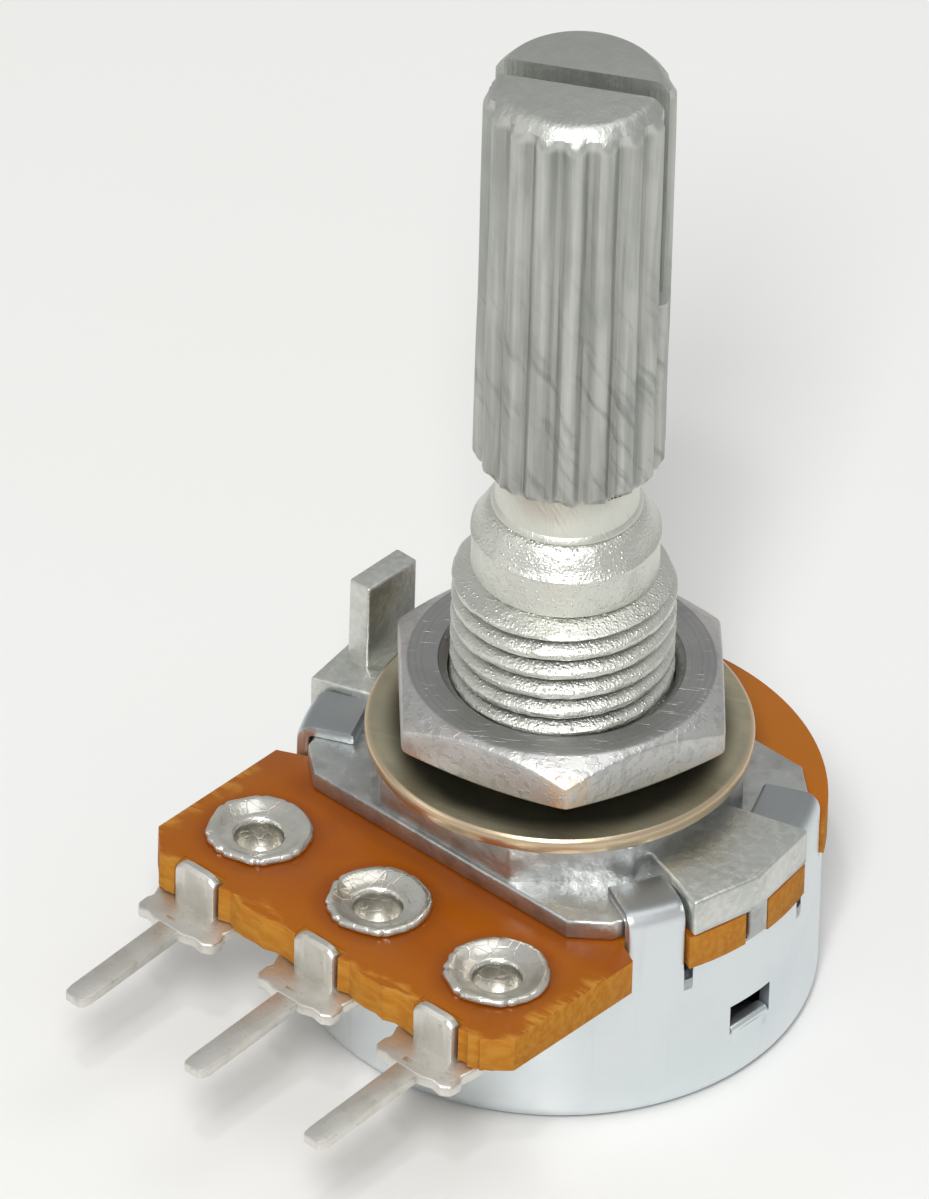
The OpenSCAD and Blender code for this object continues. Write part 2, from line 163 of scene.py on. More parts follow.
class HardwareSettings(bpy.types.PropertyGroup):
    washer_radius: length("Washer radius", "Outside radius of the flat washer", WASHER_HIGH.x)
    nut_flats: length("Across flats", "Width across the nut's flats", 10)
    nut_turn: FloatProperty(
        name="Nut turn", description="Angle of the nut about the bushing", default=math.radians(-46), subtype="ANGLE"
    )
    nut: colour("Nut plating", "Colour of the nut's plating", (0.45, 0.46, 0.455))
    washer: colour("Washer plating", "Colour of the washer's plating", (0.50, 0.465, 0.345))
    brass: colour("Brass", "Colour of the brass where the plating is worn", (0.72, 0.57, 0.41))


class StageSettings(bpy.types.PropertyGroup):
    floor: colour("Floor", "Colour of the floor", (0.86, 0.86, 0.85))
    key: FloatProperty(name="Key light", description="Power of the main light", default=1.35, unit="POWER")
    sky: FloatProperty(name="Surroundings", description="Brightness of the surroundings", default=0.49, min=0)


class PotentiometerSettings(bpy.types.PropertyGroup):
    can: PointerProperty(type=CanSettings)
    board: PointerProperty(type=BoardSettings)
    terminals: PointerProperty(type=TerminalSettings)
    plate: PointerProperty(type=PlateSettings)
    shaft: PointerProperty(type=ShaftSettings)
    hardware: PointerProperty(type=HardwareSettings)
    stage: PointerProperty(type=StageSettings)


def mm(group):
    """The lengths of a settings group, in millimetres."""
    found = {}
    for prop in group.bl_rna.properties:
        if prop.type == "FLOAT" and prop.unit == "LENGTH":
            found[prop.identifier] = getattr(group, prop.identifier) / MM
    return found


# ---- Mesh tools ----


def lathe(profile, steps=128, closed=True):
    """A shell spun from (radius, height) points; an open profile starts and ends on the axis."""
    bm = bmesh.new()
    verts = [bm.verts.new((r, 0, z)) for r, z in profile]
    ends = verts[1:] + verts[:1] if closed else verts[1:]
    edges = [bm.edges.new(pair) for pair in zip(verts, ends)]
    bmesh.ops.spin(
        bm, geom=verts + edges, cent=(0, 0, 0), axis=(0, 0, 1), dvec=(0, 0, 0),
        angle=2 * math.pi, steps=steps, use_merge=True, use_duplicate=False,
    )
    return tidy(bm)


def prism(outline, low, high, cuts=0):
    """A shell with straight walls over an outline of (x, y) points."""
    bm = bmesh.new()
    face = bm.faces.new([bm.verts.new((x, y, low)) for x, y in outline])
    raise_faces(bm, [face], high - low)
    for i in range(cuts):
        bisect(bm, (0, 0, low + (high - low) * (i + 1) / (cuts + 1)), (0, 0, 1))
    return tidy(bm)


def raise_faces(bm, faces, height):
    """Extrudes faces straight up."""
    made = bmesh.ops.extrude_face_region(bm, geom=faces)["geom"]
    bmesh.ops.translate(bm, vec=(0, 0, height), verts=[v for v in made if isinstance(v, bmesh.types.BMVert)])


def widen(vert, factor):
    """Moves a point away from the shaft's axis, or towards it."""
    vert.co.x, vert.co.y = vert.co.x * factor, vert.co.y * factor


def tidy(bm):
    """Joins doubled points and turns all faces outwards."""
    bmesh.ops.remove_doubles(bm, verts=bm.verts, dist=1e-5)
    bmesh.ops.recalc_face_normals(bm, faces=bm.faces)
    return bm


def soften(bm, width, segments=2, angle=40, where=None):
    """Rounds the sharp edges, or those of them that where(middle) picks."""
    edges = [
        e for e in bm.edges
        if len(e.link_faces) == 2 and math.degrees(e.calc_face_angle(0)) > angle
        and (where is None or where((e.verts[0].co + e.verts[1].co) / 2))
    ]
    bmesh.ops.bevel(
        bm, geom=edges, offset=width, offset_type="OFFSET", affect="EDGES",
        segments=segments, profile=0.5, material=-1, clamp_overlap=True,
    )
    return bm


def turn(bm, degrees):
    """Turns a whole shell about the shaft's axis."""
    bmesh.ops.rotate(bm, cent=(0, 0, 0), matrix=Matrix.Rotation(math.radians(degrees), 3, "Z"), verts=bm.verts)
    return bm


def move(bm, x=0, y=0, z=0):
    """Moves a whole shell."""
    bmesh.ops.translate(bm, vec=(x, y, z), verts=bm.verts)
    return bm


def along_x(bm):
    """Stands a shell up, so that its plan's y is height and its height runs along y."""
    for v in bm.verts:
        v.co = Vector((v.co.x, v.co.z, v.co.y))
    return tidy(bm)


def join(shells):
    """One mesh of several shells."""
    whole = bmesh.new()
    for bm in shells:
        mesh = bpy.data.meshes.new("shell")
        bm.to_mesh(mesh)
        bm.free()
        whole.from_mesh(mesh)
        bpy.data.meshes.remove(mesh)
    return whole


def bisect(bm, point, normal, **options):
    """Cuts all faces along a plane."""
    bmesh.ops.bisect_plane(
        bm, geom=bm.verts[:] + bm.edges[:] + bm.faces[:], dist=1e-6, plane_co=point, plane_no=normal, **options
    )


def drop_faces(bm, where):
    """Takes away the faces that where(middle) picks."""
    gone = [f for f in bm.faces if where(f.calc_center_median())]
    bmesh.ops.delete(bm, geom=gone, context="FACES")


def fill_loops(bm):
    """Closes each open loop with a face."""
    open_edges = [e for e in bm.edges if e.is_boundary]
    bmesh.ops.holes_fill(bm, edges=open_edges, sides=0)
    return tidy(bm)


def roughen(bm, amount, size, where=None, seed=0.0):
    """Moves points by a smooth noise of that size."""
    for v in bm.verts:
        if where is None or where(v.co):
            v.co += noise.noise_vector(v.co / size + Vector((seed, seed, seed))) * amount
    return bm


def place(name, bm, body, nodes, slot, smooth=32):
    """Makes the finished object of a piece, in metres, in place of its CAD nodes."""
    bmesh.ops.scale(bm, vec=(MM, MM, MM), verts=bm.verts)
    mesh = bpy.data.meshes.new(name)
    bm.to_mesh(mesh)
    bm.free()
    mesh.shade_smooth()
    mesh.set_sharp_from_angle(angle=math.radians(smooth))
    piece = bpy.data.objects.new(name, mesh)
    bpy.context.scene.collection.objects.link(piece)
    mesh.materials.append(finish_of(slot))
    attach(piece, body)
    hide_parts(*nodes)
    return piece


def at(radius, degrees):
    return (radius * math.cos(math.radians(degrees)), radius * math.sin(math.radians(degrees)))


def arc(radius, start, end, count):
    return [at(radius, start + (end - start) * i / count) for i in range(count + 1)]


def mirrored(half):
    """An outline from its left half."""
    return half + [(-x, y) for x, y in half[::-1]]


def half_turned(half):
    """An outline from the half that it starts with, alike after half a turn."""
    return half + [(-x, -y) for x, y in half]


def smooth_step(low, high, value):
    t = min(max((value - low) / (high - low), 0.0), 1.0)
    return t * t * (3 - 2 * t)


# ---- Finishes ----


class Value:
    """A number in a finish, so that its sums read as plain expressions."""

    def __init__(self, finish, socket):
        self.finish, self.socket = finish, socket

    def _sum(self, operation, first, second):
        return self.finish.node("ShaderNodeMath", {"operation": operation}, {0: first, 1: second})

    def __add__(self, other):
        return self._sum("ADD", self, other)

    def __radd__(self, other):
        return self._sum("ADD", other, self)

    def __sub__(self, other):
        return self._sum("SUBTRACT", self, other)

    def __rsub__(self, other):
        return self._sum("SUBTRACT", other, self)

    def __mul__(self, other):
        return self._sum("MULTIPLY", self, other)

    def __rmul__(self, other):
        return self._sum("MULTIPLY", other, self)

    def __pow__(self, other):
        return self._sum("POWER", self, other)

    def __abs__(self):
        return self._sum("ABSOLUTE", self, 0.0)

    def least(self, other):
        return self._sum("MINIMUM", self, other)

    def most(self, other):
        return self._sum("MAXIMUM", self, other)


class Finish:
    """A material that is built up from nodes."""

    def __init__(self, name, roughness=0.4, metallic=0.0, specular=0.5):
        self.material = bpy.data.materials.new(name)
        self.material.use_nodes = True
        self.tree = self.material.node_tree
        self.shader = self.tree.nodes["Principled BSDF"]
        self.set("Roughness", roughness)
        self.set("Metallic", metallic)
        self.set("Specular IOR Level", specular)
        self.where = self.node("ShaderNodeTexCoord", {}, {}, output="Object")
        place = {"Vector": self.where}
        self.x, self.y, self.z = (
            self.node("ShaderNodeSeparateXYZ", {}, place, output=axis) * (1 / MM) for axis in range(3)
        )

    def node(self, kind, settings, inputs, output=0):
        """Adds a node: its settings first, then the values or links of its sockets."""
        made = self.tree.nodes.new(kind)
        for key, value in settings.items():
            setattr(made, key, value)
        for key, value in inputs.items():
            if isinstance(value, Value):
                self.tree.links.new(value.socket, made.inputs[key])
            else:
                made.inputs[key].default_value = value
        return Value(self, made.outputs[output])

    def set(self, socket, value):
        """Sets or links a socket of the shader."""
        if isinstance(value, Value):
            self.tree.links.new(value.socket, self.shader.inputs[socket])
        else:
            self.shader.inputs[socket].default_value = value

    def radius(self):
        """Distance from the shaft's axis, in millimetres."""
        return (self.x * self.x + self.y * self.y) ** 0.5

    def stretched(self, scale, angle=(0, 0, 0)):
        """Coordinates scaled along each axis, for streaks."""
        return self.node(
            "ShaderNodeMapping", {"vector_type": "TEXTURE"},
            {"Vector": self.where, "Scale": scale, "Rotation": tuple(math.radians(a) for a in angle)},
        )

    def cloud(self, size, detail=3.0, where=None, distortion=0.0):
        """Noise from 0 to 1 with blots of that size in millimetres."""
        values = {"Scale": 1 / (size * MM), "Detail": detail, "Distortion": distortion}
        return self.node("ShaderNodeTexNoise", {}, {"Vector": where or self.where, **values})

    def cells(self, size, feature="F1"):
        """Distance in a cell pattern of that size in millimetres."""
        return self.node(
            "ShaderNodeTexVoronoi", {"feature": feature}, {"Vector": self.where, "Scale": 1 / (size * MM)}
        )

    def mask(self, value, low, high):
        """0 under low, 1 over high, smooth between."""
        return self.node(
            "ShaderNodeMapRange", {"interpolation_type": "SMOOTHSTEP"},
            {"Value": value, "From Min": low, "From Max": high},
        )

    def blend(self, factor, first, second):
        """Mixes two colours."""
        mixed = {0: factor, 6: self.rgba(first), 7: self.rgba(second)}
        return self.node("ShaderNodeMix", {"data_type": "RGBA"}, mixed, output=2)

    def rgba(self, value):
        return value if isinstance(value, Value) else (*value[:3], 1.0)

    def mottle(self, cloud, first, second):
        """Starts the tone with blots of two colours."""
        self.tone = self.blend(self.mask(cloud, 0.35, 0.7), first, second)

    def lay(self, mask, colour):
        """Lays a colour over the tone so far."""
        self.tone = self.blend(mask, self.tone, colour)

    def bump(self, height, depth):
        """Relief of that depth in millimetres."""
        self.set("Normal", self.node("ShaderNodeBump", {}, {"Height": height, "Distance": depth * MM}))


def darker(value, by):
    return tuple(c * by for c in value)


def tinted(value, red, green, blue):
    return (min(value[0] * red, 1), min(value[1] * green, 1), min(value[2] * blue, 1))


def zinc_plated_can(s):
    """Bright zinc plating with faint drawing marks up the wall, and painted shade on the lugs that are bent over the
    plate.
    """
    f = Finish("can_zinc", metallic=1.0)
    base = tuple(s.can.zinc)
    cloud = f.cloud(3.2, 4)
    streak = f.cloud(0.35, 2, where=f.stretched((1, 1, 14)))
    grain = f.cloud(0.12, 3)
    warm = f.mask(f.cloud(6.0, 2), 0.4, 0.7)
    f.mottle(cloud, base, tinted(base, 0.93, 0.955, 0.965))
    f.lay(warm * 0.35, tinted(base, 0.97, 1.0, 0.975))
    f.lay(f.mask(streak, 0.6, 0.8) * 0.25, darker(base, 0.82))
    # painted shade: the tops of the bent-over lugs are darkened
    folded = f.mask(f.z, CAN_HIGH.z - 0.30, CAN_HIGH.z - 0.05)
    f.lay(folded * (0.6 + 0.4 * cloud), darker(base, 0.46))
    f.set("Base Color", f.tone)
    f.set("Roughness", 0.30 + 0.14 * cloud + 0.08 * streak)
    f.bump(0.6 * grain + 0.4 * streak + 2.0 * cloud, 0.006)
    return f.material


def casting(s):
    """Cast zinc: cloudy on the plate, frosted with painted highlight on the blocks, bright and rough on the turned
    bushing, with painted shade in the thread's roots.
    """
    f = Finish("casting", metallic=1.0)
    base = tuple(s.plate.zinc)
    turned = f.mask(f.z, FACE_Z - 0.05, FACE_Z + 0.1) * (1 - f.mask(f.radius(), THREAD_R + 0.5, THREAD_R + 0.7))
    cloud = f.cloud(1.6, 4)
    flow = f.cloud(0.5, 3)
    grain = f.cloud(0.09, 3)
    spark = f.mask(f.cells(0.16), 0.34, 0.08)
    f.mottle(cloud, tinted(base, 1.06, 1.06, 1.05), darker(base, 0.84))
    f.lay(f.mask(flow, 0.56, 0.70) * 0.45, tinted(base, 1.30, 1.24, 1.22))
    wing = f.mask(abs(f.x), 5.6, 6.4) * f.mask(f.z, BOARD_TOP + 0.1, BOARD_TOP + 0.3)
    skin = f.mask(f.cloud(0.7, 4), 0.52, 0.66) * (1 - turned)
    f.lay(skin * 0.5, darker(base, 0.66))
    # painted highlight: frosted blots lighten the blocks and the plate's wings as if lit
    frost_and_highlight = 0.45 + 0.4 * f.mask(f.cloud(0.20, 4), 0.42, 0.66)
    f.lay(wing * (1 - turned) * frost_and_highlight, tinted(base, 1.34, 1.34, 1.25))
    # painted shade: the thread's roots under the nose are darkened
    under_nose = 1 - f.mask(f.z, PLATE_HIGH.z - 3.2, PLATE_HIGH.z - 2.9)
    root_shade = turned * under_nose * (1 - f.mask(f.radius(), THREAD_R - 0.42, THREAD_R - 0.12))
    f.lay(turned, tinted(base, 1.34, 1.33, 1.24))
    f.lay(root_shade * 0.75, darker(base, 0.30))
    rings = f.cloud(0.05, 2, where=f.stretched((9, 9, 1)))
    f.set("Base Color", f.tone)
    f.set("Roughness", 0.24 + 0.22 * cloud + 0.12 * grain - turned * 0.02)
    f.bump(5.0 * cloud + 2.6 * flow + (0.6 + 1.5 * turned) * grain + turned * (rings + 1.2 * spark), 0.014)
    return f.material


def drawn_shaft(s):
    """Drawn metal with dull grooves darkened as painted shade, smears that lean round the lower knurl, and painted
    light on the waist under the knurl.
    """
    f = Finish("shaft_metal", metallic=1.0)
    base = tuple(s.shaft.metal)
    radius = f.radius()
    around = f.node("ShaderNodeMath", {"operation": "ARCTAN2"}, {0: f.y, 1: f.x}) * (s.shaft.radius)
    height = f.z * MM
    tip, start = SHAFT_HIGH.z, SHAFT_HIGH.z - s.shaft.knurl / MM
    half, floor = s.shaft.slot / MM / 2, SHAFT_HIGH.z - s.shaft.slot_depth / MM
    lean = s.shaft.turn
    across = f.x * math.cos(lean) + f.y * math.sin(lean)
    in_slot = (1 - f.mask(abs(across), half - 0.005, half + 0.01)) * f.mask(f.z, floor - 0.1, floor)
    groove = (1 - f.mask(radius, KNURL_R - 0.24, KNURL_R - 0.06)) * (1 - in_slot)
    groove = groove * f.mask(f.z, start + 0.1, start + 0.2)
    lower = 1 - f.mask(f.z, start + 3.1, start + 10.1)

    def helical(size, stretch, pull):
        """Streaks that lean round the shaft."""
        across_streak, along_streak = around + pull * height, (height - pull * around) * (1 / stretch)
        return f.cloud(size, 3, where=f.node("ShaderNodeCombineXYZ", {}, {0: across_streak, 1: along_streak}))

    cloud = f.cloud(1.8, 4)
    streak = f.cloud(0.10, 2, where=f.stretched((1, 1, 40)))
    wide = f.cloud(0.45, 2, where=f.stretched((1, 1, 18)))
    marks = f.mask(helical(0.40, 7.0, 0.55), 0.50, 0.70) * (0.15 + 0.85 * lower)
    f.tone = f.blend(f.mask(cloud, 0.3, 0.7), base, darker(base, 0.88))
    f.lay(f.mask(wide, 0.46, 0.60) * 0.5, tinted(base, 1.35, 1.34, 1.34))
    f.lay((1 - f.mask(wide, 0.36, 0.46)) * 0.4, darker(base, 0.72))
    # painted shade: the knurl's grooves are darkened
    f.lay(groove * 0.30, tinted(base, 0.66, 0.66, 0.62))
    f.lay(marks * 0.5, darker(base, 0.45))
    f.lay(f.mask(streak, 0.56, 0.7) * 0.3, tinted(base, 1.28, 1.28, 1.28))
    f.lay(in_slot, tinted(base, 1.3, 1.3, 1.3))
    end = f.mask(f.z, tip - 0.9, tip - 0.6)
    f.lay(end * 0.8, tinted(base, 1.28, 1.28, 1.28))
    # painted light: the waist between the knurl and the dome is lightened out of its shade
    painted_light_on_neck = (1 - f.mask(f.z, start - 0.1, start + 0.1)) * f.mask(f.z, PLATE_HIGH.z - 0.5, PLATE_HIGH.z - 0.4)
    f.lay(painted_light_on_neck * 0.9, tinted(base, 1.65, 1.62, 1.56))
    f.set("Base Color", f.tone)
    f.set("Roughness", 0.34 + 0.12 * cloud + 0.08 * groove + 0.12 * streak + 0.20 * in_slot - 0.08 * end)
    dents = end * f.cloud(0.45, 2)
    f.bump(0.9 * streak + 1.0 * marks + 1.6 * cloud + 0.9 * wide + 0.4 * f.cloud(0.07, 2) + 2.0 * dents, 0.014)
    return f.material


def resin_board(s):
    """Amber resin-bonded paper, fibrous along its cut edges, with painted shade round the rivets and along the
    plate's flat edge.
    """
    f = Finish("board", roughness=0.34, specular=0.2)
    resin, fibre = tuple(s.board.resin), tuple(s.board.fibre)
    half, end = s.board.ear_half / MM, s.board.ear_end / MM
    cut = 1 - f.mask(f.z, BOARD_TOP - 0.10, BOARD_TOP - 0.02)
    near_side = half - abs(f.x)
    near_end = f.y + end
    rim = near_side.least(near_end)
    ear = 1 - f.mask(f.y, -6.2, -5.4)
    cloud = f.cloud(2.6, 4, distortion=0.4)
    fibres = f.cloud(0.30, 4, where=f.stretched((6, 1, 1)))
    torn = f.cloud(0.22, 4, where=f.stretched((5, 1, 1.2), (0, 0, 12)))
    edge = (1 - f.mask(rim + (f.cloud(0.8, 3) - 0.5) * 1.6, 0.0, 0.55)) * ear
    glow = (1 - f.mask(rim, 0.2, 2.4)) * ear
    dark = f.mask(cloud, 0.42, 0.72)
    f.tone = f.blend(dark * 0.6, resin, tinted(resin, 0.80, 0.70, 0.6))
    f.lay(glow * 0.35, tinted(resin, 1.22, 1.6, 3.0))
    f.lay(edge * f.mask(torn, 0.40, 0.62) * 0.8, fibre)
    layered = f.blend(f.mask(torn, 0.3, 0.7), tinted(fibre, 0.82, 0.62, 0.35), tinted(fibre, 0.94, 0.86, 0.8))
    f.lay(cut, layered)
    # painted shade: rings round the rivets are darkened
    ring = None
    for x in (-PITCH, 0, PITCH):
        away = ((f.x - x) * (f.x - x) + (f.y - EYELET_ROW) * (f.y - EYELET_ROW)) ** 0.5
        near = 1 - f.mask(away + 0.5 * cloud, 1.9, 2.5)
        ring = near if ring is None else ring.most(near)
    # painted shade: a band along the plate's flat edge is darkened, together with the rivet rings
    step = (1 - f.mask(abs(f.y + 5.4), 0.1, 0.9)) * (1 - f.mask(abs(f.x), 5.6, 6.6))
    f.lay(ring.most(step) * (1 - cut) * 0.55, tinted(resin, 0.62, 0.50, 0.6))
    f.lay(f.mask(f.y, 1.0, 4.0) * (1 - cut) * 0.8, tinted(resin, 1.35, 1.7, 2.0))
    speck = f.mask(f.cloud(0.09, 2), 0.70, 0.76)
    f.lay(speck * 0.2, tinted(resin, 1.3, 1.8, 3.5))
    f.set("Base Color", f.tone)
    f.set("Roughness", 0.26 + 0.16 * cloud + 0.40 * cut + 0.2 * edge)
    f.set("Coat Weight", 0.12 * (1 - cut))
    f.shader.inputs["Coat Roughness"].default_value = 0.22
    f.bump(0.4 * fibres + 2.0 * cloud + (cut + 0.5 * edge) * torn * 3.0, 0.016)
    return f.material


def tinned(name, base, cracks, rough):
    """Hand-dipped tin, with cracks of that depth."""
    f = Finish(name, metallic=1.0)
    cloud = f.cloud(0.9, 4)
    grain = f.cloud(0.10, 3)
    pits = f.mask(f.cloud(0.26, 3), 0.58, 0.72)
    f.mottle(cloud, base, tinted(base, 0.86, 0.85, 0.82))
    f.lay(pits * 0.4, darker(base, 0.62))
    f.set("Base Color", f.tone)
    f.set("Roughness", rough + 0.16 * cloud + 0.12 * pits)
    relief = 2.6 * cloud + 0.5 * grain - 0.5 * pits
    if cracks:
        relief = relief + cracks * f.mask(f.cells(0.42, "DISTANCE_TO_EDGE"), 0.0, 0.07)
    f.bump(relief, 0.009)
    return f.material


def plated_nut(s):
    """Dull plating on a turned nut, worn to the brass at its front corner and its foot."""
    f = Finish("nut_plate", metallic=1.0)
    base, brass = tuple(s.hardware.nut), tuple(s.hardware.brass)
    radius = f.radius()
    top = f.mask(f.z, NUT_HIGH.z - 0.06, NUT_HIGH.z - 0.01)
    cloud = f.cloud(1.3, 4)
    grain = f.cloud(0.10, 3)
    rings = f.cloud(0.30, 2, where=f.node("ShaderNodeCombineXYZ", {}, {0: radius * MM * 3}))
    corner = f.mask(radius + (cloud - 0.5) * 0.7, 5.25, 5.6)
    front = f.mask(f.x * 0.70 - f.y * 0.72, 4.4, 5.3)
    worn = (corner * (0.25 + 0.75 * front) * f.mask(f.cloud(0.25, 3, distortion=1.0), 0.35, 0.6)).least(1.0)
    foot = (1 - f.mask(f.z, NUT_LOW.z + 0.1, NUT_LOW.z + 0.55)) * corner
    f.mottle(cloud, tinted(base, 1.12, 1.08, 1.08), darker(base, 0.86))
    # painted light and shade: the side faces are lightened and the top face is darkened, as the light falls on them
    f.lay((1 - top) * 0.6, tinted(base, 1.55, 1.52, 1.50))
    f.lay(top * 0.5, darker(base, 0.80))
    f.lay(f.mask(f.cloud(2.8, 2), 0.45, 0.65) * (1 - top) * 0.45, tinted(base, 1.32, 1.12, 1.10))
    rough_cut = f.mask(f.cloud(0.28, 4), 0.50, 0.62) * (1 - top)
    f.lay(rough_cut * 0.22, darker(base, 0.62))
    f.lay(top * f.mask(rings, 0.45, 0.62) * 0.45, darker(base, 0.66))
    f.lay(worn * 0.9, brass)
    f.lay(foot * 0.8, tinted(brass, 1.25, 1.0, 0.8))
    scratch = f.mask(f.cloud(0.10, 2, where=f.stretched((7, 1, 1), (0, 0, 35))), 0.62, 0.70)
    f.lay(scratch * 0.3, tinted(base, 1.5, 1.45, 1.4))
    f.set("Base Color", f.tone)
    f.set("Roughness", 0.30 + 0.16 * cloud + 0.10 * grain)
    f.bump(3.4 * cloud + 0.5 * grain + 0.6 * rings * top + 0.7 * scratch + 0.8 * rough_cut, 0.010)
    return f.material


def plated_washer(s):
    """Thin plating over brass, with painted shade under the nut."""
    f = Finish("washer_plate", metallic=1.0)
    base, brass = tuple(s.hardware.washer), tuple(s.hardware.brass)
    radius = f.radius()
    rim = f.mask(radius, WASHER_HIGH.x - 0.22, WASHER_HIGH.x - 0.06)
    cloud = f.cloud(1.8, 4)
    streak = f.cloud(0.22, 2, where=f.stretched((7, 1, 1), (0, 0, 20)))
    f.mottle(cloud, tinted(base, 1.18, 1.16, 1.1), darker(base, 0.85))
    f.lay(f.mask(streak, 0.55, 0.72) * 0.3, tinted(base, 1.4, 1.4, 1.4))
    f.lay(rim * 0.8, tinted(brass, 1.0, 0.98, 0.92))
    upper = f.mask(f.z, WASHER_LOW.z + 0.2, WASHER_HIGH.z - 0.05)
    # painted shade: the washer's top is darkened under the nut, where the nut's shadow falls
    painted_shade_under_nut = (1 - f.mask(radius + 0.6 * cloud, 5.2, 6.0)) * upper
    f.lay(painted_shade_under_nut * 0.85, darker(base, 0.16))
    f.set("Base Color", f.tone)
    f.set("Roughness", 0.34 + 0.14 * cloud - 0.08 * rim)
    f.bump(1.6 * cloud + 0.4 * streak + 0.4 * f.cloud(0.09, 2), 0.008)
    return f.material


def printed(name, base, metal, rough):
    """Printed carbon or silver."""
    f = Finish(name, metallic=metal)
    cloud = f.cloud(0.8, 4)
    grain = f.cloud(0.05, 3)
    f.mottle(cloud, base, darker(base, 0.72))
    f.set("Base Color", f.tone)
    f.set("Roughness", rough + 0.15 * grain)
    f.bump(grain + 0.5 * cloud, 0.012)
    return f.material


def moulded(name, base, rough):
    """Moulded plastic."""
    f = Finish(name, specular=0.4)
    cloud = f.cloud(1.5, 4)
    grain = f.cloud(0.07, 3)
    f.set("Base Color", f.blend(f.mask(cloud, 0.3, 0.7), base, darker(base, 0.75)))
    f.set("Roughness", rough + 0.12 * cloud)
    f.bump(0.7 * grain + 0.6 * cloud, 0.015)
    return f.material


def sheet_metal(name, base, rough, streaks):
    """Stamped sheet with rolling streaks."""
    f = Finish(name, metallic=1.0)
    cloud = f.cloud(1.1, 4)
    streak = f.cloud(0.15, 2, where=f.stretched(streaks))
    f.mottle(cloud, base, darker(base, 0.8))
    f.lay(f.mask(streak, 0.55, 0.7) * 0.3, tinted(base, 1.2, 1.2, 1.2))
    f.set("Base Color", f.tone)
    f.set("Roughness", rough + 0.14 * cloud)
    f.bump(streak + 0.7 * cloud, 0.012)
    return f.material


MAKERS = {
    "can_zinc": zinc_plated_can,
    "casting": casting,
    "shaft_metal": drawn_shaft,
    "board": resin_board,
    "nut_plate": plated_nut,
    "washer_plate": plated_washer,
    "tin": lambda s: tinned("tin", tinted(tuple(s.terminals.tin), 1.08, 1.08, 1.10), 0, 0.38),
    "eyelet_tin": lambda s: tinned("eyelet_tin", tinted(tuple(s.terminals.tin), 1.12, 1.13, 1.15), 0.5, 0.22),
    "carbon_print": lambda s: printed("carbon_print", (0.03, 0.03, 0.034), 0.0, 0.45),
    "silver_print": lambda s: printed("silver_print", (0.70, 0.69, 0.66), 0.9, 0.35),
    "rotor_plastic": lambda s: moulded("rotor_plastic", (0.03, 0.03, 0.034), 0.4),
    "slip_plastic": lambda s: moulded("slip_plastic", (0.75, 0.75, 0.70), 0.35),
    "spring_bronze": lambda s: sheet_metal("spring_bronze", (0.72, 0.48, 0.26), 0.25, (6, 1, 1)),
    "ring_steel": lambda s: sheet_metal("ring_steel", (0.45, 0.45, 0.46), 0.3, (1, 8, 1)),
}
FINISHES = {}


def finish_of(slot):
    """The finish of a material slot, made the first time it is wanted."""
    if slot not in FINISHES:
        FINISHES[slot] = MAKERS[slot](bpy.context.scene.potentiometer)
    return FINISHES[slot]


# ---- The can ----


def lower_rim(bm, start, end, depth, rim):
    """Cuts the can's wall down between two angles."""
    for a, side in ((start, 0.12), (end, -0.12)):
        for b in (a, a + side):
            ray = Vector((*at(1, b), 0))
            bisect(bm, (0, 0, 0), ray.cross(Vector((0, 0, 1))))
    middle, half = (start + end) / 2, (end - start) / 2 - 0.06
    for v in bm.verts:
        if v.co.z > rim - 0.3:
            off = (math.degrees(math.atan2(v.co.y, v.co.x)) - middle + 180) % 360 - 180
            if abs(off) < half:
                v.co.z -= depth


def can_shell(c):
    """The drawn cup with its rim, relief slits and the window of the stop tab."""
    r, t, h, k = c["radius"], c["sheet"], c["rim"], c["corner"]
    inner = r - t
    kk = max(k - t, 0.15)
    outer_corner = [(r - k + x, k + z) for x, z in arc(k, -90, 0, 6)]
    inner_corner = [(inner - kk + x, t + kk + z) for x, z in arc(kk, 0, -90, 4)]
    profile = (
        [(0, 0.04), (r * 0.55, 0.04), (r * 0.6, 0.0)] + outer_corner
        + [(r, h * 0.45), (r, h - 0.5), (r, h - 0.06), (r - 0.05, h), (inner + 0.05, h), (inner, h - 0.06)]
        + [(inner, h - 0.5), (inner, h * 0.45)] + inner_corner + [(0, t)]
    )
    bm = lathe(profile, 192, closed=False)
    gap_to = -42.5
    lower_rim(bm, -180 - gap_to, gap_to, 1.15, h)
    half = math.degrees(math.asin(c["lug_width"] / 2 / r))
    for a in LUG_ANGLES:
        side = 1 if a in (-LUG_ANGLE, 180 - LUG_ANGLE) else -1
        ends = sorted((a + side * (half - 0.1), a + side * (half + 2.2)))
        lower_rim(bm, ends[0], ends[1], 0.85, h)
    # window over the stop tab
    low, high, wide = 2.0, 3.1, 0.9
    for y in (-wide, wide):
        bisect(bm, (0, y, 0), (0, 1, 0))
    for z in (low, high):
        bisect(bm, (0, 0, z), (0, 0, 1))
    drop_faces(bm, lambda m: m.x > inner - 1 and abs(m.y) < wide and low < m.z < high)
    bmesh.ops.bridge_loops(bm, edges=[e for e in bm.edges if e.is_boundary])
    return tidy(bm)


def stop_tab(c):
    """The tab that is lanced out of the window and bent inwards."""
    r, t = c["radius"], c["sheet"]
    side = [
        (r - 0.02, 1.55), (r - 0.02, 2.12), (r - 0.10, 2.22), (r - 0.45, 2.22), (r - 0.6, 2.0), (r - 1.85, 2.0),
        (r - 1.85, 1.6), (r - t, 1.6),
    ]
    return soften(along_x(prism(side, -0.82, 0.82)), 0.05)


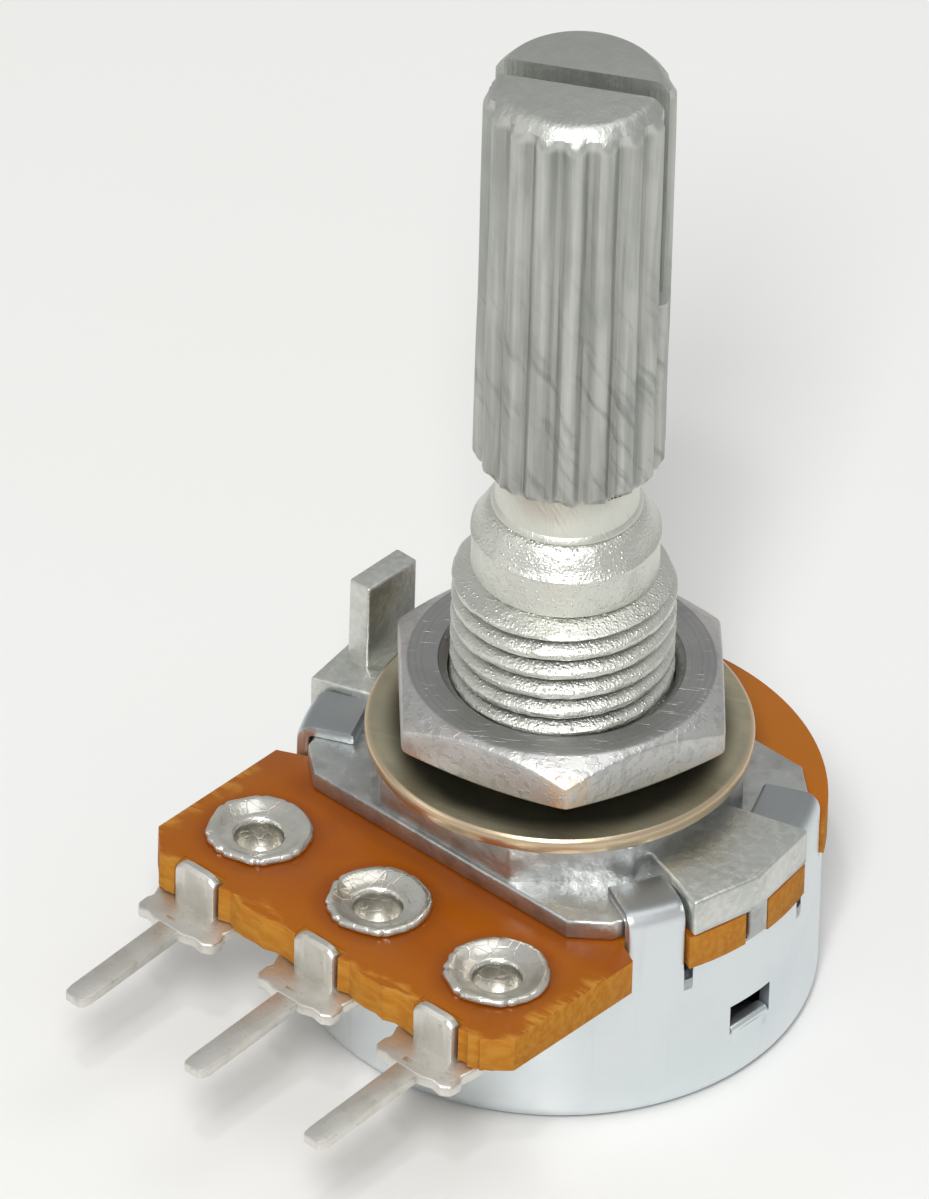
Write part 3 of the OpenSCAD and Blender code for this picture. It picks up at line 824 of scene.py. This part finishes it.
def can_lug(c, angle):
    """One lug, bent in over the plate and rounded to the can's wall."""
    r, t, top = c["radius"], c["sheet"], c["lug_top"]
    bend = t + 0.15
    outside = [(r - bend + x, top - bend + z) for x, z in arc(bend, 0, 90, 6)]
    inside = [(r - bend + x, top - bend + z) for x, z in arc(bend - t, 0, 90, 6)]
    end = r - c["lug_reach"]
    side = (
        [(r, c["rim"] - 0.07), (r, c["rim"] + 0.4)] + outside + [(end + 0.1, top), (end, top - 0.08), (end, top - t)]
        + inside[::-1] + [(r - t, c["rim"] + 0.4), (r - t, c["rim"] - 0.07)]
    )
    bm = along_x(prism(side, -c["lug_width"] / 2, c["lug_width"] / 2, cuts=7))
    soften(bm, 0.07, 2, 60, lambda m: abs(m.y) > c["lug_width"] / 2 - 0.01)
    for v in bm.verts:
        share = smooth_step(r - 1.0, r - 0.3, v.co.x)
        v.co.x -= share * (r - math.sqrt(r * r - v.co.y ** 2))
        # the end of the lug sags a little between its sides
        v.co.z -= 0.05 * smooth_step(r - 0.7, end, v.co.x) * (1 - (v.co.y / c["lug_width"] * 2) ** 2)
    return turn(bm, angle)


class POTENTIOMETER_OT_can(bpy.types.Operator):
    """Draws the can with its lugs, slits and stop tab"""

    bl_idname = "potentiometer.can"
    bl_label = "Can"

    def execute(self, context):
        c = mm(context.scene.potentiometer.can)
        shells = [can_shell(c), stop_tab(c)] + [can_lug(c, a) for a in LUG_ANGLES]
        place("can", join(shells), "housing", ["rear_can"], "can_zinc", 35)
        return {"FINISHED"}


# ---- The board ----


def notch(radius, inner, half, angle):
    """Points of a square notch into a round edge, in the sense of rising angle."""
    spread = math.degrees(math.asin(half / radius))
    c, s = math.cos(math.radians(angle)), math.sin(math.radians(angle))
    corner = [(inner * c + q * half * s, inner * s - q * half * c) for q in (1, -1)]
    return [at(radius, angle - spread), corner[0], corner[1], at(radius, angle + spread)]


def board_outline(b):
    """The board's edge: round at the back, with the ear and its notches at the front."""
    r, half, end = b["radius"], b["ear_half"], b["ear_end"]
    lug_in, lug_half = CAN_R - 0.5, 1.05
    right = [(half - 1, -end), (half, -end + 1), (half, -4.75)]
    right += notch(r, lug_in, lug_half, -LUG_ANGLE)
    spread = math.degrees(math.asin(lug_half / r))
    key = notch(r, r - 0.6, 0.5, 0)
    key_spread = math.degrees(math.asin(0.5 / r))
    right += arc(r, -LUG_ANGLE + spread, -key_spread, 5)[1:-1] + key
    right += arc(r, key_spread, LUG_ANGLE - spread, 5)[1:-1] + notch(r, lug_in, lug_half, LUG_ANGLE)
    right += arc(r, LUG_ANGLE + spread, 90, 28)[1:]
    left = [(-x, y) for x, y in right[-2::-1]]
    front = []
    for x in (-PITCH, 0, PITCH):
        front += [(x - 0.9, -end), (x - 0.9, -end + 0.5), (x + 0.9, -end + 0.5), (x + 0.9, -end)]
    return right + left + front


class POTENTIOMETER_OT_board(bpy.types.Operator):
    """Punches the resin-bonded paper board, with torn edges along the ear"""

    bl_idname = "potentiometer.board"
    bl_label = "Board"

    def execute(self, context):
        b = mm(context.scene.potentiometer.board)
        end = b["ear_end"]
        bm = bmesh.new()
        verts = [bm.verts.new((x, y, b["bottom"])) for x, y in board_outline(b)]
        for pair in zip(verts, verts[1:] + verts[:1]):
            bm.edges.new(pair)
        for long in (0.9, 0.5, 0.26):
            edges = [e for e in bm.edges if e.calc_length() > long and max(v.co.y for v in e.verts) < -5.0]
            bmesh.ops.subdivide_edges(bm, edges=edges, cuts=1)
        for v in bm.verts:
            if v.co.y < -5.4:
                n = noise.noise_vector(Vector((v.co.x * 1.7, v.co.y * 1.7, 3.1)))
                m = noise.noise_vector(Vector((v.co.x * 5.5, v.co.y * 5.5, 9.4)))
                on_end = smooth_step(-end + 0.7, -end + 0.1, v.co.y)
                v.co.x += (0.05 * n.x + 0.035 * m.x) * 0.8
                # the free edge broke away unevenly between the terminals
                v.co.y += on_end * max(0.20 * n.y + 0.16 * m.y + 0.06, 0.0)
        edges = bm.edges[:]
        for x, y, r, count in ((0, 0, 3.9, 72), *((x, EYELET_ROW, 1.1, 32) for x in (-PITCH, 0, PITCH))):
            made = bmesh.ops.create_circle(
                bm, cap_ends=False, radius=r, segments=count, matrix=Matrix.Translation((x, y, b["bottom"]))
            )
            edges += dict.fromkeys(e for v in made["verts"] for e in v.link_edges)
        bmesh.ops.triangle_fill(bm, edges=edges, use_beauty=True, use_dissolve=False, normal=(0, 0, 1))
        raise_faces(bm, bm.faces[:], b["top"] - b["bottom"])
        tidy(bm)
        soften(bm, 0.05, 2, 60, lambda m: m.z > b["top"] - 0.01 or m.z < b["bottom"] + 0.01)
        place("board", bm, "housing", ["wafer"], "board", 30)
        return {"FINISHED"}


# ---- Terminals and eyelets ----


def eyelet_shell(t, x, seed):
    """A flared eyelet whose dished head is cracked into lobes."""
    head, bore, top = t["head"], t["bore"], BOARD_TOP
    low = EYELET_LOW.z
    profile = [
        (bore, low + 0.03), (bore + 0.04, low), (head - 0.22, low), (head - 0.15, low + 0.06),
        (head - 0.15, low + 0.2), (bore + 0.3, low + 0.2), (bore + 0.3, top + 0.01), (head - 0.06, top + 0.01),
        (head, top + 0.06), (head - 0.01, top + 0.14), (head - 0.06, top + 0.21), (head - 0.14, top + 0.245),
        (head - 0.26, top + 0.22), (head - 0.42, top + 0.13), (head - 0.58, top + 0.05), (head - 0.72, top + 0.0),
        (bore + 0.13, top - 0.01), (bore + 0.07, top - 0.04), (bore + 0.02, top - 0.12), (bore, top - 0.3),
    ]
    bm = lathe(profile, 120)
    cracks = [i * math.pi / 4 + 0.16 * math.sin(seed * 7.3 + i * 2.1) for i in range(8)]
    for v in bm.verts:
        r = math.hypot(v.co.x, v.co.y)
        if r > bore + 0.35 and v.co.z > top:
            a = math.atan2(v.co.y, v.co.x)
            near = min(abs((a - c + math.pi) % (2 * math.pi) - math.pi) for c in cracks)
            share = smooth_step(bore + 0.35, head - 0.1, r)
            torn = 0.35 + 0.65 * smooth_step(0.2, -0.8, math.sin(a + 0.4 * math.sin(seed)))
            split = math.exp(-((near / 0.05) ** 2)) * share * torn
            flat = (1 - math.cos(min(near, 0.39) * 8)) * 0.5
            wave = noise.noise(Vector((math.cos(a) * 1.6, math.sin(a) * 1.6, seed)))
            grow = 1 - share * (0.06 * split + 0.055 * flat * torn - 0.03 * wave + 0.006)
            widen(v, grow)
            v.co.z -= 0.05 * split * (v.co.z > top + 0.05)
            v.co.z += 0.025 * wave * share * (v.co.z > top + 0.05)
            v.co.z = min(v.co.z, EYELET_HIGH.z)
    return move(bm, x, EYELET_ROW)


def terminal_shells(t, x, seed):
    """A terminal: its strap under the ear, the crossbar, the tab up the edge and the pin."""
    low, high = TERMINAL_LOW.z, TERMINAL_HIGH.z
    flat, thick = low + 0.3, t["sheet"]
    end, front, tip = 11.1, 12.2, -TERMINAL_LOW.y
    bar, tab, pin = t["bar"] / 2, t["tab"] / 2, t["pin"] / 2
    strap = mirrored([
        (-bar, -6.55), (-bar, -end + 0.1), (-bar + 0.12, -end - 0.25), (-bar, -end - 0.45),
        (-bar + 0.02, -front + 0.25), (-bar + 0.28, -front), (-pin - 0.55, -front + 0.02), (-pin - 0.2, -front - 0.1),
    ])
    shells = [soften(prism(strap, flat, flat + thick), 0.08, 3)]
    for v in shells[0].verts:
        if v.co.y < -end:
            # the bar's ends are bent down a little
            v.co.z -= 0.12 * smooth_step(pin + 0.5, bar, abs(v.co.x)) * smooth_step(-end, -end - 0.4, v.co.y)
            v.co.z = max(v.co.z, low)
    side = [(-end - 0.02, flat + 0.02), (-end - 0.02, high - 0.12), (-end + 0.10, high), (-end + thick - 0.1, high),
            (-end + thick, high - 0.1), (-end + thick, flat + 0.02)]
    post = along_x(prism(side, -tab, tab, cuts=6))
    for v in post.verts:
        v.co = Vector((v.co.y, v.co.x, v.co.z))
        up = smooth_step(BOARD_LOW.z, high, v.co.z)
        if v.co.z > high - 0.2:
            v.co.z -= 0.22 * smooth_step(tab * 0.45, tab, abs(v.co.x)) ** 2
        v.co.y -= 0.04 * up
    shells.append(soften(tidy(post), 0.05, 2, 50))
    shape = mirrored([
        (-pin, -front + 0.35), (-pin, -tip + 0.40), (-pin * 0.90, -tip + 0.12), (-pin * 0.66, -tip)
    ])
    prong = soften(prism(shape, low, low + thick), 0.07, 2)
    for v in prong.verts:
        v.co.z += 0.3 * smooth_step(-front - 0.25, -front + 0.2, v.co.y)
        thin = smooth_step(-tip + 0.6, -tip, v.co.y)
        v.co.z += (low + thick / 2 - v.co.z) * 0.15 * thin
    shells.append(tidy(prong))
    for bm in shells:
        roughen(bm, 0.012, 0.6, seed=seed)
        move(bm, x)
    return shells


class POTENTIOMETER_OT_terminals(bpy.types.Operator):
    """Stamps the three terminals and flares their eyelets"""

    bl_idname = "potentiometer.terminals"
    bl_label = "Terminals and eyelets"

    def execute(self, context):
        t = mm(context.scene.potentiometer.terminals)
        for i, side in enumerate(("left", "middle", "right")):
            x = (i - 1) * PITCH
            pin, rivet = join(terminal_shells(t, x, i + 1.0)), eyelet_shell(t, x, i + 0.5)
            place(f"solder_pin_{side}", pin, "housing", [f"terminal_{side}"], "tin", 35)
            place(f"rivet_{side}", rivet, "housing", [f"eyelet_{side}"], "eyelet_tin", 40)
        return {"FINISHED"}


# ---- Front plate and bushing ----


def plate_outline(p):
    """The plate's floor, alike at the front and the back."""
    flat, wing = p["flat"], CAN_R - 0.5
    corner = flat - 0.1
    right = [(corner, -flat), (corner + 1.1, -flat + 0.9), at(wing, -LUG_ANGLE - 8)]
    right += arc(wing, -LUG_ANGLE, LUG_ANGLE, 8)
    right += [at(wing, LUG_ANGLE + 8), (corner + 1.1, flat - 0.9), (corner, flat)]
    return half_turned(right)


def side_block(p):
    """A raised block between two lugs, with the key that runs down over the board."""
    outer = 8.5
    half = LUG_ANGLE - math.degrees(math.asin((LUG_WIDTH / 2 + 0.15) / CAN_R))
    inner = p["flat"] - 0.15
    shape = [at(inner, -half), at(outer, -half), (outer + 0.06, -0.2), at(outer, half), at(inner, half)]
    block = soften(prism(shape, BOARD_TOP, p["blocks"]), 0.12, 3)
    for v in block.verts:
        # the block's top falls off towards its outer side
        v.co.z -= 0.10 * smooth_step(7.0, outer, v.co.x) * smooth_step(BOARD_TOP + 0.4, p["blocks"], v.co.z)
    tongue = [(8.4 - 0.5, -0.4), (8.46, -0.4), (8.46, 0.4), (8.4 - 0.5, 0.4)]
    key = soften(prism(tongue, PLATE_LOW.z, BOARD_TOP + 0.3), 0.08, 2)
    return [block, key]


def thread_shell(p, low, high):
    """The rolled thread, as one helix that is trimmed at both ends."""
    crest, pitch = p["thread"], p["thread_pitch"]
    root = crest - 0.44
    shape = [(root, 0), (root, 0.05), (crest - 0.08, 0.30), (crest - 0.01, 0.40), (crest, 0.50), (crest - 0.01, 0.60),
             (crest - 0.08, 0.70), (root, 0.95), (root, 1.0)]
    steps = 80
    bm = bmesh.new()
    verts = [bm.verts.new((r, 0, low - 2 * pitch + z * pitch + 0.4)) for r, z in shape]
    edges = [bm.edges.new(pair) for pair in zip(verts, verts[1:])]
    turns = math.ceil((high - low) / pitch) + 4
    bmesh.ops.spin(
        bm, geom=verts + edges, cent=(0, 0, 0), axis=(0, 0, 1), dvec=(0, 0, pitch / steps),
        angle=2 * math.pi * turns, steps=steps * turns, use_merge=False, use_duplicate=False,
    )
    bmesh.ops.remove_doubles(bm, verts=bm.verts, dist=1e-4)
    bisect(bm, (0, 0, low), (0, 0, 1), clear_inner=True)
    bisect(bm, (0, 0, high), (0, 0, 1), clear_outer=True)
    fill_loops(bm)
    start = high - 0.36
    for v in bm.verts:
        r = math.hypot(v.co.x, v.co.y)
        if r > 1:
            limit = crest - (crest - p["nose"] + 0.24) * max(v.co.z - start, 0) / (high - start)
            rough = (0.04 * noise.noise(v.co * 2.4) + 0.035 * noise.noise(v.co * 7)) * smooth_step(root, crest, r)
            widen(v, min(r + rough, limit, crest) / r)
    return bm


class POTENTIOMETER_OT_front_plate(bpy.types.Operator):
    """Casts the front plate with its blocks, locating lug and threaded bushing"""

    bl_idname = "potentiometer.front_plate"
    bl_label = "Front plate and bushing"

    def execute(self, context):
        p = mm(context.scene.potentiometer.plate)
        face, flat = p["face"], p["flat"]
        floor = soften(prism(plate_outline(p), BOARD_TOP, p["floor"]), 0.10, 3)
        front_half, side_half, reach = 2.7, 2.5, flat - 0.15
        side = reach + front_half - side_half
        eight = half_turned([(-front_half, -reach), (front_half, -reach), (side, -side_half), (side, side_half)])
        seat = soften(prism(eight, BOARD_TOP + 0.1, face), 0.14, 3)
        shells = [floor, seat]
        for a in (0, 180):
            shells += [turn(bm, a) for bm in side_block(p)]
        blade_x = CAN_R - 0.75
        near, far, wide = -blade_x + 0.425, -blade_x - 0.425, 1.1
        blade = prism(
            [(far, -wide), (near, -wide), (near, wide), (far, wide)], BOARD_TOP + 0.2, face + 2.4, cuts=4
        )
        shells.append(soften(blade, 0.10, 3))
        lip, top = 2.13, p["top"]
        nose_low, nose_high = top - 2.4, top - 1.0
        nose = p["nose"]
        core = [
            (lip, face - 0.4), (nose - 0.25, face - 0.4), (nose - 0.25, nose_low), (nose - 0.06, nose_low + 0.03),
            (nose - 0.01, nose_low + 0.08), (nose, nose_low + 0.16), (nose - 0.03, nose_high - 0.12),
            (nose - 0.03, nose_high - 0.08), (nose + 0.03, nose_high - 0.04), (nose + 0.03, nose_high + 0.02),
            (nose - 0.06, nose_high + 0.12), (nose - 0.17, nose_high + 0.32), (nose - 0.30, nose_high + 0.56),
            (nose - 0.45, nose_high + 0.80), (nose - 0.62, nose_high + 0.95),
            (lip + 0.03, top), (lip, top - 0.03),
        ]
        swaged = lathe(core, 128)
        roughen(swaged, 0.03, 0.8, lambda q: q.z > nose_high - 0.1)
        for v in swaged.verts:
            v.co.z = min(v.co.z, top)
            r = math.hypot(v.co.x, v.co.y)
            if r < lip:
                widen(v, lip / r)
        shells += [swaged, thread_shell(p, face - 0.2, nose_low)]
        whole = join(shells)
        roughen(whole, 0.02, 1.1, lambda q: q.z < face - 0.05)
        place("cast_plate", whole, "housing", ["front_plate"], "casting", 35)
        return {"FINISHED"}


# ---- Shaft ----


def knurled_end(s):
    """The knurled length with its chamfered tip, split by the slot."""
    r, tip, start, count = s["radius"], s["tip"], s["tip"] - s["knurl"], s["count"]
    tooth = 360 / count
    # angle from a groove's middle, and how far in the surface lies there
    shape = [
        (-0.07, 0.94), (0.07, 0.94), (0.16, 0.74), (0.24, 0.42), (0.32, 0.16), (0.41, 0.03), (0.5, 0.0), (0.59, 0.03),
        (0.68, 0.16), (0.76, 0.42), (0.84, 0.74),
    ]
    levels = [(start, r - 0.25), (start + 0.08, r - 0.14), (start + 0.3, r)]
    levels += [(start + (tip - start) * i / 12, r) for i in range(1, 12)]
    levels += [
        (tip - 0.85, r), (tip - 0.72, r - 0.03), (tip - 0.40, r - 0.22), (tip - 0.14, r - 0.44),
        (tip - 0.04, r - 0.56), (tip, r - 0.70),
    ]
    ring = [(tooth * (i + f), depth) for i in range(count) for f, depth in shape]
    bm = bmesh.new()
    bmesh.ops.create_circle(bm, cap_ends=True, radius=r, segments=len(ring))
    bm.verts.ensure_lookup_table()
    wall = sorted(bm.verts, key=lambda v: math.atan2(v.co.y, v.co.x) % (2 * math.pi))

    def set_ring(verts, z, limit):
        for v, (a, depth) in zip(verts, ring):
            wear = 0.05 * noise.noise(Vector((a * 0.06, z * 0.3, 2.0)))
            burr = 0.22 * noise.noise(Vector((a * 0.10, 1.0, 4.0))) if z < start + 0.1 else 0
            v.co = Vector((*at(min(r - s["groove"] * depth - max(wear, 0), limit), a), z + burr))

    set_ring(wall, *levels[0])
    for z, limit in levels[1:]:
        edges = [e for e in bm.edges if e.verts[0] in set(wall) and e.verts[1] in set(wall)]
        made = bmesh.ops.extrude_edge_only(bm, edges=edges)["geom"]
        fresh = {v for v in made if isinstance(v, bmesh.types.BMVert)}
        step = {}
        for v in wall:
            for e in v.link_edges:
                other = e.other_vert(v)
                if other in fresh:
                    step[v] = other
        wall = [step[v] for v in wall]
        set_ring(wall, z, limit)
    bm.faces.new(wall)
    tidy(bm)
    half, floor = s["slot"] / 2, tip - s["slot_depth"]
    for x in (-half, half):
        bisect(bm, (x, 0, 0), (1, 0, 0))
    bisect(bm, (0, 0, floor), (0, 0, 1))
    near = 1e-4
    drop_faces(bm, lambda m: abs(m.x) < half and m.z > floor + near)
    rim = [v for v in bm.verts if v.is_boundary]
    for x in (-half, half):
        ends = [v for v in rim if abs(v.co.x - x) < near and abs(v.co.z - floor) < near]
        ends.sort(key=lambda v: v.co.y)
        floor_edge = bm.edges.new((ends[0], ends[-1]))
        wall_edges = [
            e for e in bm.edges
            if e.is_boundary and all(abs(v.co.x - x) < near and v.co.z > floor - near for v in e.verts)
        ]
        bmesh.ops.edgeloop_fill(bm, edges=wall_edges + [floor_edge])
    bmesh.ops.edgeloop_fill(bm, edges=[e for e in bm.edges if e.is_boundary])
    return tidy(bm)


class POTENTIOMETER_OT_shaft(bpy.types.Operator):
    """Turns the shaft and knurls and splits its end"""

    bl_idname = "potentiometer.shaft"
    bl_label = "Shaft"

    def execute(self, context):
        settings = context.scene.potentiometer.shaft
        s = mm(settings)
        s["count"] = settings.grooves
        start = s["tip"] - s["knurl"]
        dome, low = PLATE_HIGH.z, SHAFT_LOW.z
        stem = [
            (0, low), (2.05, low), (2.15, low + 0.08), (2.15, low + 0.4), (2.0, low + 0.42), (2.0, 4.4),
            (2.1, 4.42), (2.1, 6.0), (1.65, 6.02), (1.65, 6.5), (2.1, 6.52), (2.1, dome + 0.01),
            (2.36, dome + 0.04), (2.34, dome + 0.12), (2.25, dome + 0.24), (2.22, dome + 0.45), (2.24, dome + 0.8),
            (2.32, start - 0.7), (2.42, start - 0.35), (2.52, start - 0.12), (2.68, start + 0.02),
            (2.6, start + 0.2), (0, start + 0.2),
        ]
        core = lathe(stem, 96, closed=False)
        whole = join([core, knurled_end(s)])
        turn(whole, math.degrees(settings.turn))
        place("knurled_shaft", whole, "spindle", ["shaft"], "shaft_metal", 28)
        return {"FINISHED"}


# ---- Washer and nut ----


class POTENTIOMETER_OT_hardware(bpy.types.Operator):
    """Makes the flat washer and the hexagon nut"""

    bl_idname = "potentiometer.hardware"
    bl_label = "Washer and nut"

    def execute(self, context):
        settings = context.scene.potentiometer.hardware
        h = mm(settings)
        low, high, r = WASHER_LOW.z, WASHER_HIGH.z, h["washer_radius"]
        ring = [
            (3.6, low + 0.05), (3.65, low), (r - 0.10, low), (r - 0.02, low + 0.08), (r, low + 0.2), (r, high - 0.16),
            (r - 0.04, high - 0.06), (r - 0.12, high), (3.68, high), (3.6, high - 0.07),
        ]
        washer = lathe(ring, 160)
        place("washer", washer, "housing", ["flat_washer"], "washer_plate", 35)

        low, high, flats = NUT_LOW.z, NUT_HIGH.z, h["nut_flats"] / 2
        corner, bore = flats / math.cos(math.pi / 6), THREAD_R + 0.05
        top_r, slope = flats - 0.25, 0.65
        count = 192
        shape = [(bore, 1), (top_r, 0), (9, 1), (9, 2), (top_r + 0.1, 3), (bore + 0.3, 3), (bore, 2)]
        bm = lathe([(a, low + b * 0.4) for a, b in shape], count)
        for v in bm.verts:
            a = math.atan2(v.co.y, v.co.x)
            step = round((v.co.z - low) / 0.4)
            r = math.hypot(v.co.x, v.co.y)
            off = (a + math.pi / 6) % (math.pi / 3) - math.pi / 6
            hexed = flats / math.cos(math.pi / 6 - abs(off))
            hexed = min(hexed, corner - 0.03)
            if r > 8:
                cut = max(hexed - top_r, 0) * slope
                v.co.x, v.co.y = hexed * math.cos(a), hexed * math.sin(a)
                v.co.z = high - cut if step == 2 else low + cut * 0.45
            elif r > bore + 0.2:
                shift = min(top_r, hexed) if r > bore + 0.5 else r
                v.co.x, v.co.y = shift * math.cos(a), shift * math.sin(a)
                v.co.z = high if step == 3 else low
            else:
                v.co.z = high - 0.28 if step == 2 else low + 0.25
        bmesh.ops.recalc_face_normals(bm, faces=bm.faces)
        soften(bm, 0.09, 3, 28, lambda m: math.hypot(m.x, m.y) > bore + 0.6)
        turn(bm, math.degrees(settings.nut_turn))
        place("nut", bm, "housing", ["hex_nut"], "nut_plate", 30)
        return {"FINISHED"}


# ---- Sealed inner parts ----

INNER = {
    "resistive_track": "carbon_print",
    "track_pad_left": "silver_print",
    "track_pad_right": "silver_print",
    "collector_ring": "silver_print",
    "retaining_ring": "ring_steel",
    "thrust_washer": "slip_plastic",
    "rotor": "rotor_plastic",
    "wiper": "spring_bronze",
}


class POTENTIOMETER_OT_inner_parts(bpy.types.Operator):
    """Gives the parts inside the can their finishes"""

    bl_idname = "potentiometer.inner_parts"
    bl_label = "Inner parts"

    def execute(self, context):
        for node, slot in INNER.items():
            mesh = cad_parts[node].data
            mesh.materials.clear()
            mesh.materials.append(finish_of(slot))
        return {"FINISHED"}


# ---- Stage ----


def view_axes(azimuth, elevation, roll):
    """Right, up and forward of a camera that looks down at the axis."""
    az, el = math.radians(azimuth), math.radians(elevation)
    forward = Vector((-math.sin(az) * math.cos(el), math.cos(az) * math.cos(el), -math.sin(el)))
    right = Vector((math.cos(az), math.sin(az), 0))
    up = right.cross(forward)
    turn_by = Matrix.Rotation(math.radians(roll), 3, -forward)
    return turn_by @ right, turn_by @ up, forward


def soft_light(name, azimuth, elevation, distance, size, power, tint=(1, 1, 1)):
    """A square soft light that looks at the part."""
    light = bpy.data.lights.new(name, "AREA")
    light.shape, light.size, light.energy, light.color = "SQUARE", size, power, tint
    holder = bpy.data.objects.new(name, light)
    az, el = math.radians(azimuth), math.radians(elevation)
    aim = Vector((0, 0, 0.012))
    away = Vector((math.sin(az) * math.cos(el), -math.cos(az) * math.cos(el), math.sin(el)))
    holder.location = aim + away * distance
    holder.rotation_euler = away.to_track_quat("Z", "Y").to_euler()
    bpy.context.scene.collection.objects.link(holder)


class POTENTIOMETER_OT_stage(bpy.types.Operator):
    """Sets up the floor, the lights and the camera"""

    bl_idname = "potentiometer.stage"
    bl_label = "Stage"

    def execute(self, context):
        scene = context.scene
        s = scene.potentiometer.stage
        bm = bmesh.new()
        bmesh.ops.create_grid(bm, x_segments=8, y_segments=8, size=1.5)
        move(bm, z=-0.02 * MM)
        mesh = bpy.data.meshes.new("floor")
        bm.to_mesh(mesh)
        bm.free()
        floor = bpy.data.objects.new("floor", mesh)
        scene.collection.objects.link(floor)
        f = Finish("floor_white", roughness=0.28, specular=0.5)
        base = tuple(s.floor)
        f.set("Base Color", f.blend(f.mask(f.cloud(30, 2), 0.35, 0.7) * 0.5, base, tinted(base, 0.99, 0.985, 0.97)))
        f.bump(f.cloud(4.0, 2), 0.01)
        mesh.materials.append(f.material)

        world = bpy.data.worlds.new("surroundings")
        world.use_nodes = True
        sky = world.node_tree.nodes["Background"]
        sky.inputs["Color"].default_value = (0.985, 0.99, 0.98, 1.0)
        sky.inputs["Strength"].default_value = s.sky
        scene.world = world

        soft_light("key", 36, 46, 0.5, 0.10, s.key)
        soft_light("spark", 34, 56, 0.45, 0.022, s.key * 0.16)
        soft_light("top", 120, 75, 0.6, 0.30, s.key * 0.35)
        soft_light("side", -35, 25, 0.7, 0.30, s.key * 0.25, (1.0, 0.97, 0.93))

        scene.view_settings.view_transform = "Standard"
        right, up, forward = view_axes(41.6, 37.98, 1.75)
        reach = 1.15
        aim = Vector((0, -0.002, 0.015)) - right * 0.001734 + up * 0.000171
        data = bpy.data.cameras.new("camera")
        data.sensor_fit = "AUTO"
        data.sensor_width = 36
        data.lens = 32465 * reach / 1199 * 36
        data.clip_start, data.clip_end = 0.05, 10
        camera = bpy.data.objects.new("camera", data)
        camera.matrix_world = Matrix.Translation(aim - forward * reach) @ Matrix(
            (right, up, -forward)
        ).transposed().to_4x4()
        scene.collection.objects.link(camera)
        scene.camera = camera
        return {"FINISHED"}


# ---- Panel ----

STEPS = (
    POTENTIOMETER_OT_can,
    POTENTIOMETER_OT_board,
    POTENTIOMETER_OT_terminals,
    POTENTIOMETER_OT_front_plate,
    POTENTIOMETER_OT_shaft,
    POTENTIOMETER_OT_hardware,
    POTENTIOMETER_OT_inner_parts,
    POTENTIOMETER_OT_stage,
)


class POTENTIOMETER_PT_pieces(bpy.types.Panel):
    """Lists the pieces of the potentiometer with their settings"""

    bl_idname = "POTENTIOMETER_PT_pieces"
    bl_label = "Rotary potentiometer"
    bl_space_type = "VIEW_3D"
    bl_region_type = "UI"
    bl_category = "Potentiometer"

    def draw(self, context):
        settings = context.scene.potentiometer
        for step in STEPS:
            self.layout.operator(step.bl_idname)
        for group in ("can", "board", "terminals", "plate", "shaft", "hardware", "stage"):
            box = self.layout.box()
            part = getattr(settings, group)
            for prop in part.bl_rna.properties:
                if prop.identifier not in ("name", "rna_type"):
                    box.prop(part, prop.identifier)


CLASSES = (
    CanSettings, BoardSettings, TerminalSettings, PlateSettings, ShaftSettings, HardwareSettings, StageSettings,
    PotentiometerSettings, *STEPS, POTENTIOMETER_PT_pieces,
)


def register():
    for cls in CLASSES:
        bpy.utils.register_class(cls)
    bpy.types.Scene.potentiometer = PointerProperty(type=PotentiometerSettings)


def unregister():
    del bpy.types.Scene.potentiometer
    for cls in reversed(CLASSES):
        bpy.utils.unregister_class(cls)


def main():
    noise.seed_set(NOISE_SEED)
    register()
    for step in STEPS:
        group, name = step.bl_idname.split(".")
        getattr(getattr(bpy.ops, group), name)()


if __name__ == "__main__":
    main()
